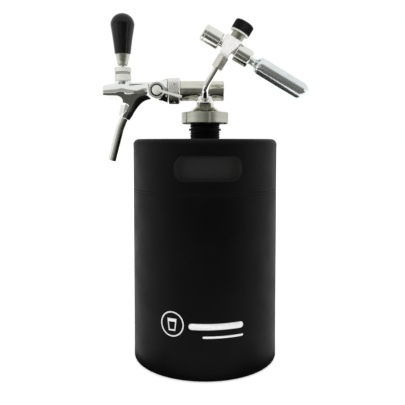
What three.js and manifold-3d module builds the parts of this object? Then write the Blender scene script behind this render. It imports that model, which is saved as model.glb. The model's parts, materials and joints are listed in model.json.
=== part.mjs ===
// A 5 litre double-wall mini keg with a tap head, a flow-control tap and a small CO2 regulator.
// Millimetres, +Z up. The origin is the centre of the keg's flat base, the tap points along -X,
// and the gas arm leans over the front, towards -Y.

import * as THREE from 'three';
import { mergeVertices } from 'three/addons/utils/BufferGeometryUtils.js';
import Module from 'manifold-3d';

const wasm = await Module();
wasm.setup();

// Driving dimensions.
const GAP = 0.3; // between pieces that seat on each other
const WALL = 0.9; // sheet of both keg walls
const KEG_RADIUS = 90;
const KEG_HEIGHT = 275;
const NECK_ROOT = 18;
const NECK_BORE = 16.2;
const NECK_TOP = 303;
const TAP_AXIS_HEIGHT = 335.4;
const CROSS_TUBE_RADIUS = 12.7;
const LEVER_X = -103.4;
const LEVER_PIVOT_HEIGHT = 356;
const FLOW_LEVER_X = -59.6;
const CAM_THROW = 2.6;
const CAM_REST = THREE.MathUtils.degToRad(210);
const GAS_TILT = THREE.MathUtils.degToRad(33);
const ARM_LEAN = THREE.MathUtils.degToRad(31);
const GAS_TUBE_RADIUS = 4;
const ELBOW_REACH = 29.2; // from the gas port's foot to the corner of the gas tube
const REGULATOR_REACH = 55.5; // from that corner to the middle of the regulator block
const KNOB_OFFSET = 1.9; // knob axis, along the cartridge axis from the block's middle
const CARTRIDGE_RADIUS = 10.7;
const QUARTER = Math.PI / 2;

// Facets round a turned piece, by its size.
const SHELL_SIDES = 32;
const FINE = 22;
const MEDIUM = 16;
const SMALL = 12;
const TINY = 8;
const HEX = 6;

const material = (color, roughness, metalness) =>
  new THREE.MeshStandardMaterial({ color, roughness, metalness });
const BLACK_PAINT = material(0x17181a, 0.55, 0.1);
const STEEL = material(0xb9bbbd, 0.35, 1);
const BRUSHED = material(0xc4c2bd, 0.42, 1);
const CHROME = material(0xd6d7d9, 0.12, 1);
const NICKEL = material(0xb8b2a4, 0.4, 1);
const ZINC = material(0xb4bfc4, 0.22, 1);
const BRASS = material(0xb08d4a, 0.4, 1);
const BLACK_PLASTIC = material(0x101011, 0.35, 0);
const RUBBER = material(0x1a1a1a, 0.8, 0);
const DIAL_WHITE = material(0xf2f2ee, 0.6, 0);
const CLEAR = material(0xdfe8ec, 0.05, 0);

// A solid turned about +Z. The outline lists [radius, height] counterclockwise, and closes on
// itself unless it starts on the axis.
function turned(outline, sides = MEDIUM) {
  const points = outline.map(([radius, height]) => new THREE.Vector2(radius, height));
  if (outline[0][0] > 0) points.push(points[0].clone());
  return new THREE.LatheGeometry(points, sides).rotateX(QUARTER);
}

const turnedAlongX = (outline, sides) => turned(outline, sides).rotateY(QUARTER);
const turnedToFront = (outline, sides) => turned(outline, sides).rotateX(QUARTER);
const rod = (radius, from, to, sides) => turned([[0, from], [radius, from], [radius, to], [0, to]], sides);
const tube = (bore, radius, from, to, sides) =>
  turned([[bore, from], [radius, from], [radius, to], [bore, to]], sides);
const toAxis = (geometry) => geometry.rotateY(QUARTER).translate(0, 0, TAP_AXIS_HEIGHT);

// Points of an arc in the [radius, height] plane. Angles are in degrees from the radius direction.
function arc(radius, height, size, from, to, steps) {
  const points = [];
  for (let step = 0; step <= steps; step += 1) {
    const angle = THREE.MathUtils.degToRad(from + ((to - from) * step) / steps);
    points.push([radius + size * Math.cos(angle), height + size * Math.sin(angle)]);
  }
  return points;
}

const ring = (radius, section, height, sides = MEDIUM) =>
  turned(arc(radius, height, section, 0, 270, 3), sides);

function box(low, high) {
  const size = high.map((value, index) => value - low[index]);
  const middle = high.map((value, index) => (value + low[index]) / 2);
  return new THREE.BoxGeometry(...size).translate(...middle);
}

// Exact joins and cuts.
function solidOf(geometry) {
  const bare = geometry.clone();
  bare.deleteAttribute('normal');
  bare.deleteAttribute('uv');
  const merged = mergeVertices(bare, 1e-4);
  const corners = merged.index.array;
  const kept = [];
  for (let first = 0; first < corners.length; first += 3) {
    const [a, b, c] = corners.slice(first, first + 3);
    if (a !== b && b !== c && c !== a) kept.push(a, b, c);
  }
  const vertProperties = new Float32Array(merged.attributes.position.array);
  return new wasm.Manifold(new wasm.Mesh({ numProp: 3, vertProperties, triVerts: new Uint32Array(kept) }));
}

function geometryOf(solid) {
  const mesh = solid.simplify(0.03).getMesh();
  const geometry = new THREE.BufferGeometry();
  geometry.setAttribute('position', new THREE.BufferAttribute(new Float32Array(mesh.vertProperties), 3));
  geometry.setIndex(new THREE.BufferAttribute(new Uint32Array(mesh.triVerts), 1));
  return geometry;
}

const combine = (operation, base, tools) =>
  geometryOf(tools.reduce((solid, tool) => solid[operation](solidOf(tool)), solidOf(base)));
const join = (base, ...tools) => combine('add', base, tools);
const cut = (base, ...tools) => combine('subtract', base, tools);
const overlap = (base, ...tools) => combine('intersect', base, tools);

// A section of the given sides swept along a path, with an optional bore.
function swept(path, radius, bore, sides, steps) {
  const section = new THREE.Shape().absarc(0, 0, radius, 0, 2 * Math.PI, false);
  if (bore) section.holes.push(new THREE.Path().absarc(0, 0, bore, 0, 2 * Math.PI, true));
  const options = { extrudePath: path, steps, curveSegments: sides, bevelEnabled: false };
  return new THREE.ExtrudeGeometry(section, options);
}

// A straight run, a smooth corner and another straight run.
function bentPath(start, corner, end, bend) {
  const entry = corner.clone().addScaledVector(start.clone().sub(corner).normalize(), bend);
  const exit = corner.clone().addScaledVector(end.clone().sub(corner).normalize(), bend);
  const path = new THREE.CurvePath();
  path.add(new THREE.LineCurve3(start, entry));
  path.add(new THREE.QuadraticBezierCurve3(entry, corner, exit));
  path.add(new THREE.LineCurve3(exit, end));
  return path;
}

class Helix extends THREE.Curve {
  constructor(radius, from, to, turns) {
    super();
    Object.assign(this, { radius, from, to, turns });
  }

  getPoint(share, target = new THREE.Vector3()) {
    const angle = share * this.turns * 2 * Math.PI;
    const height = this.from + (this.to - this.from) * share;
    return target.set(this.radius * Math.cos(angle), this.radius * Math.sin(angle), height);
  }
}

function spring(radius, wire, from, to, turns) {
  const path = new Helix(radius, from + wire, to - wire, turns);
  return swept(path, wire, 0, 2, Math.round(turns * 8));
}

const keg = new THREE.Group();

function add(parent, name, geometry, finish) {
  const mesh = new THREE.Mesh(geometry, finish);
  mesh.name = name;
  parent.add(mesh);
}

// Keg: an outer shell with two hand recesses, a base cap, an inner vessel and a threaded neck.
const CORNER = 3;
const SHOULDER = 7;
const CAP_RADIUS = KEG_RADIUS - CORNER;
const SHELL_FOOT = 0.4;
const NECK_HOLE = NECK_ROOT + GAP;
const GRIP_HALF_WIDTH = 39.5;
const GRIP_HALF_HEIGHT = 13.85;
const GRIP_CORNER = 11.5;
const GRIP_HEIGHT = 241.3;
const GRIP_FLOOR = 78;
const GRIP_TURNS = [2.2, 182.2].map(THREE.MathUtils.degToRad);

function barrelOutline(inset) {
  return [
    ...arc(CAP_RADIUS, SHELL_FOOT + CORNER, CORNER - inset, -90, 0, 3),
    ...arc(KEG_RADIUS - SHOULDER, KEG_HEIGHT - SHOULDER, SHOULDER - inset, 0, 90, 3),
  ];
}

function gripBlock(grow, floor, turn) {
  const halfWidth = GRIP_HALF_WIDTH + grow;
  const halfHeight = GRIP_HALF_HEIGHT + grow;
  const corner = GRIP_CORNER + grow;
  const outline = new THREE.Shape();
  outline.absarc(halfWidth - corner, halfHeight - corner, corner, 0, QUARTER, false);
  outline.absarc(corner - halfWidth, halfHeight - corner, corner, QUARTER, 2 * QUARTER, false);
  outline.absarc(corner - halfWidth, corner - halfHeight, corner, 2 * QUARTER, 3 * QUARTER, false);
  outline.absarc(halfWidth - corner, corner - halfHeight, corner, 3 * QUARTER, 4 * QUARTER, false);
  const block = new THREE.ExtrudeGeometry(outline, { depth: 60, bevelEnabled: false, curveSegments: 4 });
  block.rotateX(QUARTER).translate(0, -45, GRIP_HEIGHT).rotateZ(turn);
  return cut(block, rod(floor, 200, KEG_HEIGHT, SHELL_SIDES));
}

function outerShell() {
  const wall = turned([
    ...barrelOutline(0),
    [NECK_HOLE, KEG_HEIGHT],
    [NECK_HOLE, KEG_HEIGHT - WALL],
    ...barrelOutline(WALL).reverse(),
  ], SHELL_SIDES);
  const barrel = turned([[0, SHELL_FOOT], ...barrelOutline(0), [0, KEG_HEIGHT]], SHELL_SIDES);
  const cups = GRIP_TURNS.map((turn) => overlap(gripBlock(WALL, GRIP_FLOOR - WALL, turn), barrel));
  const recesses = GRIP_TURNS.map((turn) => gripBlock(0, GRIP_FLOOR, turn));
  return cut(join(wall, ...cups), ...recesses);
}

function baseCap() {
  const plate = 1.4;
  const bead = 0.8;
  return turned([
    [0, 0], [62, 0], [62.8, bead], [69.2, bead], [70, 0], [CAP_RADIUS - GAP, 0],
    [CAP_RADIUS - GAP, plate], [70.4, plate], [69.6, plate + bead], [62.4, plate + bead],
    [61.6, plate], [0, plate],
  ], SHELL_SIDES);
}

function vesselOutline(inset) {
  const floor = 8;
  const belly = 82;
  const bellyTop = 213;
  const chest = 73;
  const top = 262;
  return [
    ...arc(belly - 14, floor + 14, 14 - inset, -90, 0, 2),
    [belly - inset, bellyTop],
    [chest - inset, bellyTop + 9],
    ...arc(chest - 8, top - 8, 8 - inset, 0, 90, 2),
  ];
}

function innerVessel() {
  const outside = vesselOutline(0);
  const inside = vesselOutline(WALL).reverse();
  const [, floor] = outside[0];
  const top = outside[outside.length - 1][1];
  const outline = [[0, floor], ...outside, [NECK_HOLE, top], [NECK_HOLE, top - WALL], ...inside];
  return turned([...outline, [0, floor + WALL]], FINE);
}

function neckRing() {
  const ridge = (height) => [
    [NECK_ROOT, height - 1.3], [NECK_ROOT + 0.9, height], [NECK_ROOT, height + 1.3],
  ];
  const lower = [276.2, 279.2, 282.2].flatMap(ridge);
  const upper = [291, 294, 297, 300].flatMap(ridge);
  const flange = [[NECK_ROOT, 285.5], [20.2, 285.5], [20.2, 288.1], [NECK_ROOT, 288.1]];
  const lead = [[NECK_ROOT, NECK_TOP - 0.8], [NECK_ROOT - 0.8, NECK_TOP], [NECK_BORE, NECK_TOP]];
  return turned([[NECK_BORE, 258], [NECK_ROOT, 258], ...lower, ...flange, ...upper, ...lead], MEDIUM);
}

add(keg, 'outer_shell', outerShell(), BLACK_PAINT);
add(keg, 'base_cap', baseCap(), BLACK_PAINT);
add(keg, 'inner_vessel', innerVessel(), STEEL);
add(keg, 'neck_ring', neckRing(), BLACK_PAINT);

// Clamping collar and its snap ring, which holds the head's flange down.
const COLLAR_RADIUS = 29.35;
const COLLAR_FOOT = 293.8;
const COLLAR_TOP = 308.5;
const FLANGE_FOOT = NECK_TOP + 2;
const FLANGE_TOP = FLANGE_FOOT + 1.7;

function collarRing() {
  const body = turned([
    [19.6, COLLAR_FOOT], [27.9, COLLAR_FOOT], [COLLAR_RADIUS, COLLAR_FOOT + 1.5],
    [COLLAR_RADIUS, COLLAR_TOP - 0.7], [COLLAR_RADIUS - 0.7, COLLAR_TOP], [25, COLLAR_TOP],
    [25, COLLAR_TOP - 0.4], [26, COLLAR_TOP - 0.4], [26, FLANGE_TOP], [25, FLANGE_TOP],
    [25, FLANGE_FOOT - GAP], [19.6, FLANGE_FOOT - GAP],
  ], FINE);
  const grooves = [];
  for (let index = 0; index < 6; index += 1) {
    const groove = rod(1.1, COLLAR_FOOT - 1, COLLAR_TOP + 1, TINY).translate(0, -COLLAR_RADIUS - 0.2, 0);
    grooves.push(groove.rotateZ(THREE.MathUtils.degToRad(10 + 60 * index)));
  }
  return cut(body, ...grooves);
}

add(keg, 'collar_ring', collarRing(), BRUSHED);
add(keg, 'collar_snap_ring', tube(23.3, 25.7, FLANGE_TOP + GAP, COLLAR_TOP - 0.7, FINE), STEEL);

// Head: flange, cone, riser and cross tube in one casting, with the gas port on the cone.
const CONE_TOP = 316.3;
const RISER_RADIUS = 11.1;
const GAS_FOOT = new THREE.Vector3(0, -17, 312);
const DIP_TUBE_RADIUS = 4.75;
const DIP_TUBE_TOP = 315.6;
const UNDERCUT_TOP = 307;
const THREAD_X = -30.7;
const THREAD_END_X = -40;

const toGasPort = (geometry) => geometry.rotateX(GAS_TILT).translate(...GAS_FOOT);

function headBody() {
  const stem = turned([
    [0, FLANGE_FOOT], [24.5, FLANGE_FOOT], [24.5, FLANGE_TOP], [22.4, FLANGE_TOP], [21.8, COLLAR_TOP],
    [12.6, CONE_TOP - 1.1], [RISER_RADIUS, CONE_TOP + 0.4], [RISER_RADIUS, 330], [0, 330],
  ], FINE);
  const crossTube = toAxis(turned([
    [0, THREAD_END_X], [11, THREAD_END_X], [11.4, THREAD_END_X + 0.6], [11.4, THREAD_X],
    [CROSS_TUBE_RADIUS - 0.5, THREAD_X], [CROSS_TUBE_RADIUS, THREAD_X + 0.6],
    [CROSS_TUBE_RADIUS, 22.7], [CROSS_TUBE_RADIUS - 1, 23.7], [0, 23.7],
  ], FINE));
  return cut(
    join(stem, crossTube),
    toAxis(rod(9.5, THREAD_END_X - 1, 18, MEDIUM)),
    rod(15.5, FLANGE_FOOT - 1, UNDERCUT_TOP, MEDIUM),
    rod(6.7, UNDERCUT_TOP - 1, UNDERCUT_TOP + 2.2, SMALL),
    rod(DIP_TUBE_RADIUS + GAP, UNDERCUT_TOP, DIP_TUBE_TOP + GAP, SMALL),
    rod(4, DIP_TUBE_TOP, TAP_AXIS_HEIGHT, SMALL),
    toGasPort(rod(4.9, -3, 8, SMALL)),
    toGasPort(rod(2, -8, -2, TINY)),
  );
}

const dipTubeNut = () => cut(
  turned([
    [0, 299.5], [8.6, 299.5], [9.2, 300.1], [9.2, UNDERCUT_TOP - GAP], [0, UNDERCUT_TOP - GAP],
  ], HEX),
  rod(DIP_TUBE_RADIUS + GAP, 299, UNDERCUT_TOP, MEDIUM),
);

add(keg, 'head_body', headBody(), CHROME);
add(keg, 'head_gasket', tube(16.5, 19, NECK_TOP + GAP, FLANGE_FOOT - GAP, MEDIUM), RUBBER);
add(keg, 'dip_tube', tube(3.75, DIP_TUBE_RADIUS, 18, DIP_TUBE_TOP, SMALL), STEEL);
add(keg, 'dip_tube_nut', dipTubeNut(), STEEL);
add(keg, 'dip_tube_o_ring', ring(5.85, 0.65, UNDERCUT_TOP + 1.1, SMALL), RUBBER);

// Coupling between head and tap. Everything in this group is turned about the tap's axis, so a
// height in an outline is a place along X.
const tapLine = new THREE.Group();
tapLine.position.z = TAP_AXIS_HEIGHT;
tapLine.rotation.y = QUARTER;
keg.add(tapLine);

const NUT_RADIUS = 16.3;
const SPANNER_HOLE_TURN = THREE.MathUtils.degToRad(62);
const SPANNER_HOLE_X = -37.6;
const NUT_FRONT_X = -46.4;
const NUT_LIP_X = -44;
const TAIL_X = -41.5;

function couplingNut() {
  const body = turned([
    [12.4, NUT_FRONT_X], [NUT_RADIUS - 1, NUT_FRONT_X], [NUT_RADIUS, NUT_FRONT_X + 1],
    [NUT_RADIUS, -32], [NUT_RADIUS - 1, -31], [13, -31], [13, THREAD_X - 1.2], [11.8, THREAD_X - 1.2],
    [11.8, -39.5], [13.6, -39.5], [13.6, NUT_LIP_X], [12.4, NUT_LIP_X],
  ], MEDIUM);
  const holes = [];
  for (let index = 0; index < 4; index += 1) {
    const hole = rod(1.5, 14.2, NUT_RADIUS + 1, TINY).rotateY(QUARTER).translate(0, 0, SPANNER_HOLE_X);
    holes.push(hole.rotateZ(QUARTER * index + SPANNER_HOLE_TURN));
  }
  return cut(body, ...holes);
}

add(tapLine, 'coupling_nut', couplingNut(), CHROME);
add(tapLine, 'coupling_snap_ring', tube(11.6, 13.2, -43.7, -42.8, MEDIUM), STEEL);
add(tapLine, 'tail_washer', tube(9, 11, -41.2, -40.3, MEDIUM), RUBBER);

// Tap body: barrel, flare and tail turned about X, the lever boss above, the flow boss in front
// and the spout socket below.
const NOSE_DROOP = THREE.MathUtils.degToRad(2.1);
const NOSE_X = -127.6;
const WAIST_X = -75;
const CHAMBER_END_X = -118;
const SEAT_FRONT_X = -84;
const SEAT_REAR_X = -80;
const BOSS_RADIUS = 10.2;
const BOSS_TOP = 356.2;
const BALL_RADIUS = 7.2;
const FLOW_BOSS_FRONT = 14.5;
const FLOW_SEAT = 10.8;
const SOCKET_END = new THREE.Vector3(-102.2, 0, 301.2);
const SOCKET_ROOT = new THREE.Vector3(-87.5, 0, 335);
const SPOUT_RUN = 12.9; // straight tube below the socket, down to the bend
const SPOUT_TIP = new THREE.Vector3(-118.1, 0, 247.6);
const SPOUT_RADIUS = 5.2;
const SPOUT_DEPTH = 12;
const socketUp = SOCKET_ROOT.clone().sub(SOCKET_END);
const socketTilt = Math.atan2(socketUp.x, socketUp.z);

const toSocket = (geometry) => geometry.rotateY(socketTilt).translate(...SOCKET_END);
const toLever = (geometry) => geometry.translate(LEVER_X, 0, 0);
const toFlowLever = (geometry) => geometry.translate(FLOW_LEVER_X, 0, TAP_AXIS_HEIGHT);

function tapBarrel() {
  const nose = turned([
    [0, NOSE_X], [8.6, NOSE_X], [9, NOSE_X + 0.5], [10, -122.5], [10.8, -117], [11.4, -111],
    [11.3, WAIST_X], [0, WAIST_X],
  ], FINE);
  nose.translate(0, 0, -WAIST_X).rotateY(-NOSE_DROOP).translate(0, 0, WAIST_X);
  const rear = turned([
    [0, WAIST_X - 3], [11.3, WAIST_X - 3], [11.4, -70], [12.1, -62], [13.4, -55], [15.1, -49.5],
    [15.7, -48], [15.7, -46.9], [12, -46.9], [12, -43.9], [11.2, -43.9], [11.2, -42.6], [12, -42.6],
    [12, TAIL_X], [0, TAIL_X],
  ], FINE);
  return toAxis(join(rear, nose));
}

function spoutSocket() {
  const round = turned([[0, 0], [7.1, 0], [7.6, 0.6], [8.8, 6], [9.9, 14], [10.8, 24], [0, 36]], MEDIUM);
  const flare = turned([[0, 4], [8, 4], [9.2, 12], [13, 20], [15, 25], [8, 34], [0, 34]], MEDIUM);
  flare.scale(1, 0.7, 1);
  return toSocket(join(round, flare));
}

function faucetBody() {
  const leverBoss = toLever(turned([
    [0, 336], [10.4, 336], [9.8, 345], [9.8, 347.6], [BOSS_RADIUS, 348.1], [BOSS_RADIUS, BOSS_TOP],
    [0, BOSS_TOP],
  ], FINE));
  const flowBoss = toFlowLever(turnedToFront([
    [0, 3], [10.5, 3], [10.5, FLOW_BOSS_FRONT - 0.7], [9.8, FLOW_BOSS_FRONT], [0, FLOW_BOSS_FRONT],
  ], MEDIUM));
  const ballSeat = new THREE.SphereGeometry(BALL_RADIUS + GAP, MEDIUM, 12);
  const vent = toLever(box([-4, -12, 342.6], [4, -9, 345.2]));
  const ventArch = toLever(rod(1.4, -4, 4, TINY).rotateY(QUARTER).translate(0, -10.4, 344.8));
  return cut(
    join(tapBarrel(), leverBoss, flowBoss, spoutSocket()),
    toAxis(rod(7, CHAMBER_END_X, SEAT_FRONT_X, MEDIUM)),
    toAxis(rod(5, SEAT_FRONT_X - 1, SEAT_REAR_X + 1, MEDIUM)),
    toAxis(rod(9, SEAT_REAR_X, TAIL_X + 1, MEDIUM)),
    toLever(ballSeat.translate(0, 0, LEVER_PIVOT_HEIGHT)),
    toLever(rod(BALL_RADIUS + GAP, LEVER_PIVOT_HEIGHT, BOSS_TOP + 1, MEDIUM)),
    toLever(rod(6.4, 348.6, 351.3, MEDIUM)),
    toLever(box([-3.2, -3.2, 346], [6.2, 3.2, 352])),
    toLever(box([-3.2, -3.2, 336], [8.4, 3.2, 346.5])),
    toFlowLever(turnedToFront([[0, FLOW_SEAT], [7.6, FLOW_SEAT], [7.6, 16], [0, 16]], MEDIUM)),
    toFlowLever(turnedToFront([[0, 4], [4.3, 4], [4.3, 12], [0, 12]], SMALL)),
    toSocket(rod(SPOUT_RADIUS + GAP, -1, SPOUT_DEPTH, MEDIUM)),
    toSocket(rod(4.2, SPOUT_DEPTH - 1, 34, SMALL)),
    vent,
    ventArch,
  );
}

function spoutTube() {
  const up = socketUp.clone().normalize();
  const inside = SOCKET_END.clone().addScaledVector(up, SPOUT_DEPTH - GAP);
  const corner = SOCKET_END.clone().addScaledVector(up, -SPOUT_RUN);
  return swept(bentPath(inside, corner, SPOUT_TIP, 7), SPOUT_RADIUS, 4.2, 7, 10);
}

add(keg, 'faucet_body', faucetBody(), CHROME);
add(keg, 'spout_tube', spoutTube(), CHROME);

// Tap lever: a ball held in the boss by a screwed collar, with its tip in the valve shaft.
const COLLAR_BASE = 359;
const COLLAR_RIM = 364.6;
const TIP_RADIUS = 2.7;
const ARM_RADIUS = 2.2;
const STEM_RADIUS = 3;
const FERRULE_FOOT = 367.2;
const GRIP_FOOT = 381.8;
const STEM_TOP = 398;
const GRIP_TOP = 432.2;

const leverLine = new THREE.Group();
leverLine.position.x = LEVER_X;
keg.add(leverLine);

const leverCollar = () => turned([
  [6.95, COLLAR_BASE], [BOSS_RADIUS, COLLAR_BASE], [BOSS_RADIUS, COLLAR_RIM - 0.3],
  [BOSS_RADIUS - 0.3, COLLAR_RIM], [9.6, COLLAR_RIM], [5.5, COLLAR_BASE + 2], [6.3, COLLAR_BASE + 1],
], FINE);

const frictionWasher = () => tube(7.5, 9.5, BOSS_TOP + GAP, COLLAR_BASE - GAP, MEDIUM);

const leverBall = () => turned([
  ...arc(0, TAP_AXIS_HEIGHT, TIP_RADIUS, -90, 35, 4),
  ...arc(0, LEVER_PIVOT_HEIGHT, BALL_RADIUS, -72, 65, 8),
  [STEM_RADIUS, STEM_TOP],
  [0, STEM_TOP],
].map(([radius, height], index) => [index === 0 ? 0 : radius, height]), FINE);

const handleFerrule = () => turned([
  [STEM_RADIUS + GAP, FERRULE_FOOT], [5.6, FERRULE_FOOT], [6.3, FERRULE_FOOT + 0.8],
  [6.7, FERRULE_FOOT + 4], [8.9, GRIP_FOOT - 1.3], [9.2, GRIP_FOOT - GAP],
  [STEM_RADIUS + GAP, GRIP_FOOT - GAP],
], MEDIUM);

function handleGrip() {
  const crown = 14.6;
  return turned([
    [STEM_RADIUS + GAP, GRIP_FOOT], [9.6, GRIP_FOOT], [10, GRIP_FOOT + 0.6], [11.2, 393.5], [12.5, 403],
    [13.7, 411.2], ...arc(15 - crown, GRIP_TOP - crown, crown, 0, 78, 5), [0, GRIP_TOP],
    [0, STEM_TOP + 2], [STEM_RADIUS + GAP, STEM_TOP + 1],
  ], MEDIUM);
}

add(leverLine, 'lever_collar', leverCollar(), CHROME);
add(leverLine, 'friction_washer', frictionWasher(), BLACK_PLASTIC);
add(leverLine, 'lever_o_ring', ring(5.35, 0.75, 349.75, MEDIUM), RUBBER);
add(leverLine, 'lever_ball', leverBall(), STEEL);
add(leverLine, 'handle_ferrule', handleFerrule(), CHROME);
add(leverLine, 'handle_grip', handleGrip(), BLACK_PLASTIC);

// Valve: the shaft's slotted block takes the lever's tip, and its tail carries the seal.
function valveShaft() {
  const body = turned([
    [0, -112], [5.5, -112], [5.5, -98], [2.5, -98], [2.5, -76.3], [4.5, -76.3], [4.5, -74.7], [0, -74.7],
  ], SMALL);
  const slot = box([-8, -3, LEVER_X - 3.1], [8, 3, LEVER_X + 3.1]);
  const tiltRelief = box([-8, -3, LEVER_X - 4.9], [-1.6, 3, LEVER_X]);
  return cut(body, slot, tiltRelief);
}

add(tapLine, 'valve_shaft', valveShaft(), STEEL);
add(tapLine, 'valve_seal', tube(2.8, 7, SEAT_REAR_X + GAP, -76.6, MEDIUM), RUBBER);

// Flow control: a side lever turns a cam pin that slides the compensator cone along X.
const COMPENSATOR_RADIUS = 8.2;
const PIN_RADIUS = 1.4;
const camX = CAM_THROW * Math.cos(CAM_REST);
const camZ = CAM_THROW * Math.sin(CAM_REST);

function compensatorCone() {
  const body = turned([
    [0, -67.2], [3.4, -67.2], [COMPENSATOR_RADIUS, -64.9], [COMPENSATOR_RADIUS, -47.6],
    [COMPENSATOR_RADIUS - 0.6, -47], [0, -47],
  ], MEDIUM);
  const slotX = FLOW_LEVER_X + camX;
  return cut(body, box([-9, -9, slotX - 1.85], [9, -5.8, slotX + 1.85]));
}

function flowLever() {
  const hub = turnedToFront([
    [0, 8.6], [4, 8.6], [4, 9.2], [2.8, 9.2], [2.8, 10.5], [4, 10.5], [4, FLOW_SEAT + GAP],
    [7, FLOW_SEAT + GAP], [7, 12.1], [5.2, 12.1], [5.2, 18.4], [4.2, 19.3], [2, 19.9], [0, 20],
  ], MEDIUM);
  const pin = turnedToFront([[0, 6.2], [PIN_RADIUS, 6.2], [PIN_RADIUS, 8.7], [0, 8.7]], TINY);
  pin.translate(camX, 0, camZ);
  const handle = turned([
    [0, 0], [1.45, 0], [1.5, 6], [1.9, 16], [2.3, 25], ...arc(0, 27.2, 2.4, 0, 72, 3), [0, 29.6],
  ], TINY);
  handle.rotateY(THREE.MathUtils.degToRad(106)).rotateZ(THREE.MathUtils.degToRad(-9.5));
  return toFlowLever(join(hub, pin, handle.translate(2.5, -17, -0.7)));
}

const flowLeverNut = () =>
  toFlowLever(turnedToFront([[5.5, 12.4], [7.3, 12.4], [7.3, 14.1], [5.5, 14.1]], MEDIUM));

add(keg, 'flow_lever', flowLever(), CHROME);
add(keg, 'flow_lever_nut', flowLeverNut(), BLACK_PLASTIC);
add(keg, 'flow_lever_o_ring', toFlowLever(ring(3.55, 0.5, 9.85, SMALL).rotateX(QUARTER)), RUBBER);
add(tapLine, 'compensator_cone', compensatorCone(), BLACK_PLASTIC);

// Gas port: a hexagon inlet with a spring check valve. Heights run out along the port's axis.
const gasPort = new THREE.Group();
gasPort.position.copy(GAS_FOOT);
gasPort.rotation.x = GAS_TILT;
keg.add(gasPort);

const HEX_FOOT = 1.5;
const HEX_TOP = 11;
const SPIGOT_TOP = 12.9;
const SWIVEL_TOP = 14.5;

function gasPortBody() {
  const stub = turned([[0, -2.7], [4.6, -2.7], [4.6, HEX_FOOT + 1], [0, HEX_FOOT + 1]], SMALL);
  const hex = turned([
    [0, HEX_FOOT], [7.5, HEX_FOOT], [8.1, HEX_FOOT + 0.6],
    [8.1, HEX_TOP - 0.6], [7.5, HEX_TOP], [0, HEX_TOP],
  ], HEX).rotateZ(QUARTER);
  return cut(
    join(stub, hex, rod(5.2, HEX_TOP - 1, SPIGOT_TOP, SMALL)),
    rod(3.1, 1, 8.9, SMALL),
    rod(1.8, -4, SPIGOT_TOP + 1, TINY),
  );
}

const checkPoppet = () => turned([[0, 6.3], [2.7, 6.3], [2.7, 7.6], [1.2, 8.6], [0, 8.6]], TINY);
const swivelNut = () => turned([
  [5.5, HEX_TOP + GAP], [9, HEX_TOP + GAP], [9.5, HEX_TOP + 0.8], [9.5, SWIVEL_TOP - 0.5],
  [9, SWIVEL_TOP], [GAS_TUBE_RADIUS + GAP, SWIVEL_TOP], [GAS_TUBE_RADIUS + GAP, SPIGOT_TOP + GAP],
  [5.5, SPIGOT_TOP + GAP],
], FINE);

add(gasPort, 'gas_port', gasPortBody(), CHROME);
add(gasPort, 'gas_port_o_ring', ring(5.75, 0.4, 0.95, SMALL), RUBBER);
add(gasPort, 'check_poppet', checkPoppet(), BRASS);
add(gasPort, 'check_spring', spring(2.2, 0.3, 1.3, 6.1, 3.5), STEEL);
add(gasPort, 'gas_swivel_nut', swivelNut(), CHROME);

// Gas arm: from the corner of the gas tube upwards, heights run along the leaning arm.
const gasAxis = new THREE.Vector3(0, -Math.sin(GAS_TILT), Math.cos(GAS_TILT));
const armAxis = new THREE.Vector3(Math.sin(ARM_LEAN), 0, Math.cos(ARM_LEAN));
const elbow = GAS_FOOT.clone().addScaledVector(gasAxis, ELBOW_REACH);
const TUBE_END = 35.9;
const NUT_FOOT = 26.5;
const NUT_TOP = 43;
const ELBOW_BEND = 7;

function gasTube() {
  const start = GAS_FOOT.clone().addScaledVector(gasAxis, SPIGOT_TOP + 0.4);
  const end = elbow.clone().addScaledVector(armAxis, TUBE_END);
  return swept(bentPath(start, elbow, end, ELBOW_BEND), GAS_TUBE_RADIUS, 2.6, 6, 10);
}

const arm = new THREE.Group();
arm.position.copy(elbow);
arm.rotation.y = ARM_LEAN;
keg.add(arm);

function outletNut() {
  const hex = turned([
    [0, NUT_FOOT], [6.8, NUT_FOOT], [7.6, NUT_FOOT + 0.8],
    [7.6, NUT_TOP - 0.8], [6.8, NUT_TOP], [0, NUT_TOP],
  ], HEX);
  const tubeBore = rod(GAS_TUBE_RADIUS + GAP, NUT_FOOT - 1, NUT_TOP, SMALL);
  return cut(hex, tubeBore, rod(5.8, 34, NUT_TOP + 1, MEDIUM));
}

add(keg, 'gas_tube', gasTube(), CHROME);
add(arm, 'outlet_nut', outletNut(), CHROME);
add(arm, 'outlet_olive', tube(4.3, 5.4, 34.3, 35.7, MEDIUM), BRASS);

// Regulator: x runs along the cartridge axis, z along the knob's axis, from the block's middle.
const regulator = new THREE.Group();
regulator.position.z = REGULATOR_REACH;
arm.add(regulator);

const BLOCK_DEPTH = 22;
const BLOCK_TOP = 12;
const BLOCK_FOOT = -10.6;
const BONNET_FOOT = 6.6;
const BONNET_TOP = 20;
const RING_TOP = 22;
const SCREW_FOOT = 16;
const INLET_X = 3;
const INLET_STUB = 5;
const KNOB_FOOT = RING_TOP + GAP;
const KNOB_TOP = 35;
const KNOB_SOCKET = KNOB_TOP - 4;
const KNOB_RADIUS = 12;
const SOCKET_X = 10;
const SOCKET_END_X = 29.8;
const GAUGE_RADIUS = 11.2;
const GAUGE_BACK = 12;
const GAUGE_FRONT = 35.5;

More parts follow.
